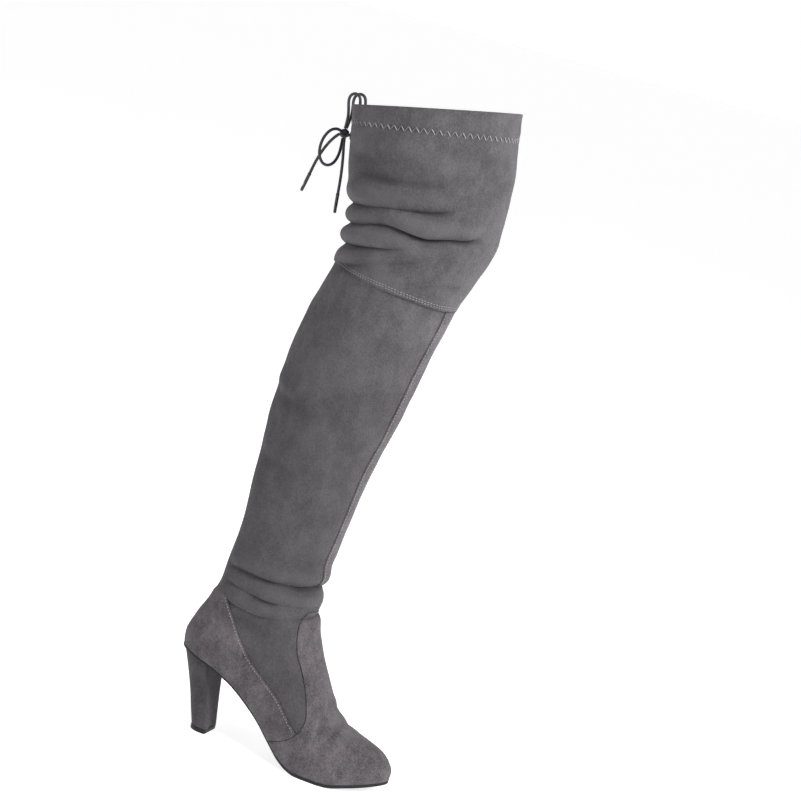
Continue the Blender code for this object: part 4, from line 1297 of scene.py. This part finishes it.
def vamp_outline():
    """The vamp seam, then round below the sole and past the toe."""
    ahead = 1.04 * LAST_LENGTH - REST_X
    seam = seam_line(VAMP_SEAM)
    below = Vector((seam[-1].x, 0, BELOW_SOLE))
    return seam + [below, Vector((ahead, 0, BELOW_SOLE)), Vector((ahead, 0, seam[0].z))]


def counter_outline():
    """The side seam, the vamp seam below it, then round below the sole and past the heel."""
    behind = -0.06 * LAST_LENGTH - REST_X
    side = seam_line(SIDE_SEAM)
    seam = [point for point in seam_line(VAMP_SEAM) if point.z < side[-1].z]
    front = shifted(seam, -SEAM_GAP)
    below = Vector((front[-1].x, 0, BELOW_SOLE))
    return side + front + [below, Vector((behind, 0, BELOW_SOLE)), Vector((behind, 0, side[0].z))]


def sole_layer(name, kind, bottom, thickness, step):
    """The outsole with eased edges, one row of faces across for each step along."""
    count = round(LAST_LENGTH / step)
    shares = [(1 - cos(pi * number / count)) / 2 for number in range(count + 1)]
    columns = 12

    def place(row, col):
        x = shares[row] * LAST_LENGTH
        across = 2 * col / columns - 1
        width = outline(shares[row], "outer" if across < 0 else "inner") * (1 + 2 * SOLE_EDGE / BALL_WIDTH)
        reach = mix(-SOLE_EDGE, LAST_LENGTH + SOLE_EDGE, shares[row])
        return Vector((reach - REST_X, width * across, bottom(x)))

    bm = sheet(count, columns, place)
    bmesh.ops.remove_doubles(bm, verts=bm.verts, dist=WELD)
    made = bmesh.ops.extrude_face_region(bm, geom=list(bm.faces))
    for item in made["geom"]:
        if isinstance(item, bmesh.types.BMVert):
            item.co.z += thickness(item.co.x + REST_X)
    bmesh.ops.recalc_face_normals(bm, faces=bm.faces)
    piece = finish(bm, name, look(kind), sharp=40)
    edge = piece.modifiers.new("eased edge", "BEVEL")
    edge.width = 0.0006
    edge.segments = 2
    edge.limit_method = "ANGLE"
    edge.angle_limit = radians(50)
    edge.use_clamp_overlap = True
    return piece


def heel_outline(level, side_number):
    """A corner of the heel's outline: round behind, flat at the breast with eased corners."""
    turn = 2 * pi * side_number / HEEL_SIDES
    back = mix(HEEL_INSET, HEEL_TIP_BACK, level.back)
    breast = mix(HEEL_INSET + HEEL_LENGTH, HEEL_TIP_BACK + HEEL_TIP_LENGTH, level.breast)
    width = mix(HEEL_WIDTH, HEEL_TIP_WIDTH, level.width)
    middle = mix(back, breast, HEEL_MIDDLE)
    ahead = cos(turn) > 0
    power = 2 / (HEEL_SQUARE if ahead else HEEL_ROUND)
    reach = breast - middle if ahead else back - middle
    x = middle + reach * abs(cos(turn)) ** power
    y = width / 2 * abs(sin(turn)) ** power * (1 if sin(turn) > 0 else -1)
    return x, y


def heel_level(down):
    """The heel's shape between the table's levels."""
    downs = column(HEEL, "down")
    values = {name: through(downs, column(HEEL, name), down) for name in ("back", "breast", "width")}
    return HeelLevel(down, **values)


def make_heel_cover():
    """The suede-covered block, with the cover's seam down the middle of its breast."""
    seam_depth = 0.0007

    def place(row, col):
        down = row / HEEL_ROWS
        x, y = heel_outline(heel_level(down), col * HEEL_SIDES / HEEL_COLUMNS)
        if col % HEEL_COLUMNS == 0:
            x -= seam_depth
        z = mix(sole_z(x) - HEEL_SEAT_GAP * 0.3, TOP_PIECE_HEIGHT + FIT, down)
        return Vector((x - REST_X, y, z))

    bm = sheet(HEEL_ROWS, HEEL_COLUMNS, place)
    bmesh.ops.remove_doubles(bm, verts=bm.verts, dist=WELD)
    bmesh.ops.holes_fill(bm, edges=[edge for edge in bm.edges if edge.is_boundary], sides=0)
    bmesh.ops.recalc_face_normals(bm, faces=bm.faces)
    return finish(bm, "heel_cover", look("suede_heel"), sharp=60)


def make_top_piece():
    def place(row, col):
        x, y = heel_outline(HEEL[-1], col * HEEL_SIDES / HEEL_COLUMNS)
        return Vector((x - REST_X, y, TOP_PIECE_HEIGHT * row))

    bm = sheet(1, HEEL_COLUMNS, place)
    bmesh.ops.remove_doubles(bm, verts=bm.verts, dist=WELD)
    bmesh.ops.holes_fill(bm, edges=[edge for edge in bm.edges if edge.is_boundary], sides=0)
    bmesh.ops.recalc_face_normals(bm, faces=bm.faces)
    piece = finish(bm, "heel_walking_piece", look("rubber"), sharp=50)
    edge = piece.modifiers.new("eased edge", "BEVEL")
    edge.width = 0.0004
    edge.segments = 2
    edge.limit_method = "ANGLE"
    edge.angle_limit = radians(50)
    return piece


def make_eyelet_ring(name, node, tree):
    """A rolled ring set on the cuff."""
    low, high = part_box(node)
    seat, normal = seated(tree, [(Vector(low) + Vector(high)) / 2 + Vector((-0.004, 0, 0))])[0]
    bm = bmesh.new()
    tube_radius = (EYELET_OUTER - EYELET_HOLE) / 2
    bmesh.ops.create_circle(bm, segments=14, radius=tube_radius)
    bmesh.ops.scale(bm, verts=bm.verts, vec=(1, 0.75, 1))
    bmesh.ops.rotate(bm, verts=bm.verts, cent=(0, 0, 0), matrix=Matrix.Rotation(pi / 2, 3, "X"))
    bmesh.ops.translate(bm, verts=bm.verts, vec=(EYELET_HOLE + tube_radius, 0, 0))
    bmesh.ops.spin(bm, geom=bm.verts[:] + bm.edges[:], cent=(0, 0, 0), axis=(0, 0, 1), angle=2 * pi,
                   steps=RING_COLUMNS, use_merge=True)
    bmesh.ops.remove_doubles(bm, verts=bm.verts, dist=WELD)
    bmesh.ops.recalc_face_normals(bm, faces=bm.faces)
    turn = normal.to_track_quat("Z", "Y").to_matrix().to_4x4()
    middle = seat + normal * tube_radius * 0.6
    bmesh.ops.transform(bm, matrix=Matrix.Translation(middle) @ turn, verts=bm.verts)
    return settle(finish(bm, name, look("eyelet")), "eyelet", node)


# ---------------------------------------------------------------- operators


class BOOT_OT_camera(bpy.types.Operator):
    """Set the camera to the photograph's angle."""

    bl_idname = "boot.camera"
    bl_label = "Camera"

    def execute(self, context):
        azimuth, elevation = radians(CAMERA_AZIMUTH), radians(CAMERA_ELEVATION)
        back = Vector((sin(azimuth) * cos(elevation), -cos(azimuth) * cos(elevation), sin(elevation)))
        right = Vector((0, 0, 1)).cross(back).normalized()
        up = back.cross(right)
        roll = radians(CAMERA_ROLL)
        right, up = right * cos(roll) + up * sin(roll), up * cos(roll) - right * sin(roll)
        place = CAMERA_TARGET + back * CAMERA_DISTANCE
        aside = (IMAGE_SIDE / 2 - TARGET_PIXEL[0]) / FOCAL_PIXELS * CAMERA_DISTANCE
        above = (TARGET_PIXEL[1] - IMAGE_SIDE / 2) / FOCAL_PIXELS * CAMERA_DISTANCE
        back = (place - (CAMERA_TARGET + right * aside + up * above)).normalized()
        right = (right - back * right.dot(back)).normalized()
        data = bpy.data.cameras.new("camera")
        data.sensor_width = SENSOR
        data.lens = SENSOR * FOCAL_PIXELS / IMAGE_SIDE
        data.clip_end = 200
        camera = bpy.data.objects.new("camera", data)
        context.scene.collection.objects.link(camera)
        turn = Matrix((right, back.cross(right), back)).transposed().to_4x4()
        camera.matrix_world = Matrix.Translation(place) @ turn
        context.scene.camera = camera
        return {"FINISHED"}


class BOOT_OT_bow(bpy.types.Operator):
    """Tie the cord bow: loops, ends, knot and tips."""

    bl_idname = "boot.bow"
    bl_label = "Cord bow"

    def execute(self, context):
        knot = settle(make_knot(), "cord", "lace_knot")
        plans = (
            ("bow_high_loop", "lace_high_loop", HIGH_LOOP_ROUTE, "loose", None),
            ("bow_low_loop", "lace_low_loop", LOW_LOOP_ROUTE, "hanging", None),
            ("bow_long_end", "lace_long_end", LONG_END_ROUTE, "hanging", "lace_long_tip"),
            ("bow_short_end", "lace_short_end", SHORT_END_ROUTE, "hanging", "lace_short_tip"),
        )
        for name, node, route, lay, tip_node in plans:
            points = softened(route_points(route, CORD_FINE_STEP))
            cord = settle(finish(tube(points, CORD / 2), name, look("cord")), "cord", node)
            carried = []
            if tip_node:
                tip = make_tip(name.replace("end", "tip"), route)
                carried = [settle(tip, "cord", tip_node)]
            elif name == "bow_high_loop":
                carried = [knot]
            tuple(points[0])
            round(line_length(points), 3)
        points = route_points(BAR_ROUTE, CORD_FINE_STEP)
        settle(finish(tube(points, CORD / 2), "bow_bar", look("cord")), "cord", "lace_bar")
        return {"FINISHED"}


class BOOT_OT_upper(bpy.types.Operator):
    """Shape the foot and leg with their folds."""

    bl_idname = "boot.upper"
    bl_label = "Upper"

    def execute(self, context):
        settle(make_upper_suede(), "suede", "upper", "shaft")
        return {"FINISHED"}


class BOOT_OT_cuff(bpy.types.Operator):
    """Shape the slouched cuff, its hem and its eyelets."""

    bl_idname = "boot.cuff"
    bl_label = "Cuff"

    def execute(self, context):
        cuff = settle(make_cuff_suede(), "suede", "thigh_cuff")
        settle(make_hem(), "lining", "hem_band")
        tree = surface_tree(cuff)
        make_eyelet_ring("eyelet_ring_outer", "eyelet_outer", tree)
        make_eyelet_ring("eyelet_ring_inner", "eyelet_inner", tree)
        return {"FINISHED"}


class BOOT_OT_panels(bpy.types.Operator):
    """Cut the vamp, counter and shin strip."""

    bl_idname = "boot.panels"
    bl_label = "Panels"

    def execute(self, context):
        settle(cut_panel("vamp_suede", vamp_outline()), "suede_panel", "vamp_panel")
        settle(cut_panel("counter_suede", counter_outline(), sinks=True), "suede_panel", "counter_panel")
        settle(make_strip_suede(), "suede_panel", "front_strip")
        return {"FINISHED"}


class BOOT_OT_bottom(bpy.types.Operator):
    """Make the outsole, heel and top piece, and finish the insole."""

    bl_idname = "boot.bottom"
    bl_label = "Sole and heel"

    def execute(self, context):
        settle(sole_layer("outsole_rubber", "rubber", sole_z, sole_thickness, SOLE_STEP), "rubber", "outsole")
        settle(make_heel_cover(), "suede_panel", "heel")
        settle(make_top_piece(), "rubber", "heel_top_piece")
        for place in frame["nodes"]["insole"].material_slots:
            place.link = "OBJECT"
            place.material = look("lining")
        return {"FINISHED"}


class BOOT_OT_stitching(bpy.types.Operator):
    """Sew the seams: topstitching, twin rows and the zigzag below the collar."""

    bl_idname = "boot.stitching"
    bl_label = "Stitching"

    def execute(self, context):
        objects = bpy.data.objects
        self.panel_seams(objects)
        self.leg_seams(objects)
        self.zigzag(objects)
        return {"FINISHED"}

    def panel_seams(self, objects):
        light = bmesh.new()
        dark = bmesh.new()
        vamp = surface_tree(objects["vamp_suede"])
        counter = surface_tree(objects["counter_suede"])
        for side in (-1, 1):
            line = shifted(seam_line(VAMP_SEAM), TOPSTITCH_INSET)[4:-3]
            stitch_row(dark, side_seats(vamp, line, side))
            line = shifted(seam_line(SIDE_SEAM), -TOPSTITCH_INSET)[2:-1]
            line = [point for point in line if point.z < SEAM_TOP]
            stitch_row(light, side_seats(counter, line, side))
        settle(finish(light, "side_seam_thread", look("light_thread")), "suede_panel")
        settle(finish(dark, "vamp_seam_thread", look("dark_thread")), "suede_panel")

    def leg_seams(self, objects):
        bm = bmesh.new()
        dark = bmesh.new()
        cuff = surface_tree(objects["cuff_suede"])
        upper = surface_tree(objects["upper_suede"])
        strip = surface_tree(objects["strip_suede"])
        count = 400
        for row in KNEE_ROWS:
            guides = []
            for number in range(count + 1):
                point, out, moved = skin(KNEE + row, 2 * number / count - 1)
                guides.append(point + out * SEAT_LIFT)
            stitch_row(bm, seated(cuff, guides))
        for side in (-1, 1):
            for thread, tree, around in ((bm, strip, STRIP_HALF - 0.010), (dark, upper, STRIP_HALF + 0.010)):
                guides = []
                for number in range(count + 1):
                    along = mix(ANKLE + STRIP_TUCK + 0.1, KNEE - STRIP_END - 0.05, number / count)
                    point, out, moved = skin(along, side * around)
                    guides.append(point + out * SEAT_LIFT)
                stitch_row(thread, seated(tree, guides))
        settle(finish(bm, "leg_seam_thread", look("light_thread")), "suede")
        settle(finish(dark, "strip_edge_thread", look("dark_thread")), "suede")

    def zigzag(self, objects):
        bm = bmesh.new()
        tree = surface_tree(objects["cuff_suede"])
        radius = bpy.context.scene.boot_stitch.radius
        along = COLLAR - ZIGZAG_BELOW
        rise = ZIGZAG_HEIGHT / 2 / BELOW_RIM_SPAN
        guides = [skin(along, 2 * number / 300 - 1)[0] for number in range(301)]
        count = round(line_length(guides) / ZIGZAG_PITCH) * 2
        corners = []
        for number in range(count + 1):
            level = along + (rise if number % 2 else -rise)
            point, out, moved = skin(level, 2 * number / count - 1)
            corners.append(point + out * SEAT_LIFT)
        seats = seated(tree, corners)
        for number, (start, end) in enumerate(zip(seats, seats[1:])):
            thickness = radius * (1.6 if number % 2 else 0.55)
            stitch(bm, start[0], end[0], (start[1] + end[1]).normalized(), thickness)
        settle(finish(bm, "collar_zigzag", look("light_thread")), "suede")


class BOOT_OT_studio(bpy.types.Operator):
    """Lay the pale floor and set the soft lights."""

    bl_idname = "boot.studio"
    bl_label = "Studio"

    def execute(self, context):
        settings = context.scene.boot_studio
        bm = bmesh.new()
        bmesh.ops.create_grid(bm, x_segments=2, y_segments=2, size=40)
        sweep = pale_floor("pale_floor", tuple(settings.floor_colour), settings.floor_glow)
        floor = finish(bm, "floor", sweep)
        self.light("key_light", Vector((2.1, -1.15, 2.2)), 1.4, settings.key)
        self.light("fill_light", Vector((-2.1, -1.2, 1.3)), 1.8, settings.fill)
        self.light("back_light", Vector((-0.6, 2.0, 2.0)), 1.6, settings.fill)
        context.scene.world = self.surroundings(settings)
        context.scene.view_settings.view_transform = "Standard"
        return {"FINISHED"}

    def surroundings(self, settings):
        """White at eye level, softer overhead."""
        world = bpy.data.worlds.new("studio")
        world.use_nodes = True
        nodes, links = world.node_tree.nodes, world.node_tree.links
        place = nodes.new("ShaderNodeTexCoord")
        parts = nodes.new("ShaderNodeSeparateXYZ")
        ramp = nodes.new("ShaderNodeMapRange")
        ramp.inputs["From Min"].default_value = 0.13
        ramp.inputs["From Max"].default_value = 0.30
        ramp.inputs["To Min"].default_value = settings.horizon
        ramp.inputs["To Max"].default_value = settings.zenith
        links.new(place.outputs["Generated"], parts.inputs[0])
        links.new(parts.outputs["Z"], ramp.inputs["Value"])
        links.new(ramp.outputs[0], nodes["Background"].inputs["Strength"])
        nodes["Background"].inputs["Color"].default_value = (1.0, 1.0, 1.0, 1)
        return world

    def light(self, name, place, size, power):
        data = bpy.data.lights.new(name, "AREA")
        data.size = size
        data.energy = power
        lamp = bpy.data.objects.new(name, data)
        lamp.location = place
        lamp.rotation_mode = "QUATERNION"
        lamp.rotation_quaternion = (place - Vector((0.05, 0, 0.32))).to_track_quat("Z", "Y")
        bpy.context.scene.collection.objects.link(lamp)


class BOOT_PT_panel(bpy.types.Panel):
    """The boot's settings and pieces."""

    bl_idname = "BOOT_PT_panel"
    bl_label = "Thigh high boot"
    bl_space_type = "VIEW_3D"
    bl_region_type = "UI"
    bl_category = "Boot"

    def draw(self, context):
        for name in ("boot_suede", "boot_stitch", "boot_trim", "boot_studio"):
            group = getattr(context.scene, name)
            box = self.layout.box()
            for setting in group.bl_rna.properties.keys():
                if setting not in ("rna_type", "name"):
                    box.prop(group, setting)
        for step in STEPS:
            self.layout.operator(step.bl_idname)


STEPS = (
    BOOT_OT_camera,
    BOOT_OT_bow,
    BOOT_OT_upper,
    BOOT_OT_cuff,
    BOOT_OT_panels,
    BOOT_OT_bottom,
    BOOT_OT_stitching,
    BOOT_OT_studio,
)
GROUPS = {
    "boot_suede": SuedeSettings,
    "boot_stitch": StitchSettings,
    "boot_trim": TrimSettings,
    "boot_studio": StudioSettings,
}


def register():
    for name, group in GROUPS.items():
        bpy.utils.register_class(group)
        setattr(bpy.types.Scene, name, PointerProperty(type=group))
    for step in STEPS:
        bpy.utils.register_class(step)
    bpy.utils.register_class(BOOT_PT_panel)


def unregister():
    bpy.utils.unregister_class(BOOT_PT_panel)
    for step in reversed(STEPS):
        bpy.utils.unregister_class(step)
    for name, group in GROUPS.items():
        delattr(bpy.types.Scene, name)
        bpy.utils.unregister_class(group)


def main():
    register()
    bpy.ops.boot.camera()
    bpy.ops.boot.bow()
    bpy.ops.boot.upper()
    bpy.ops.boot.cuff()
    bpy.ops.boot.panels()
    bpy.ops.boot.bottom()
    bpy.ops.boot.stitching()
    bpy.ops.boot.studio()


if __name__ == "__main__":
    main()
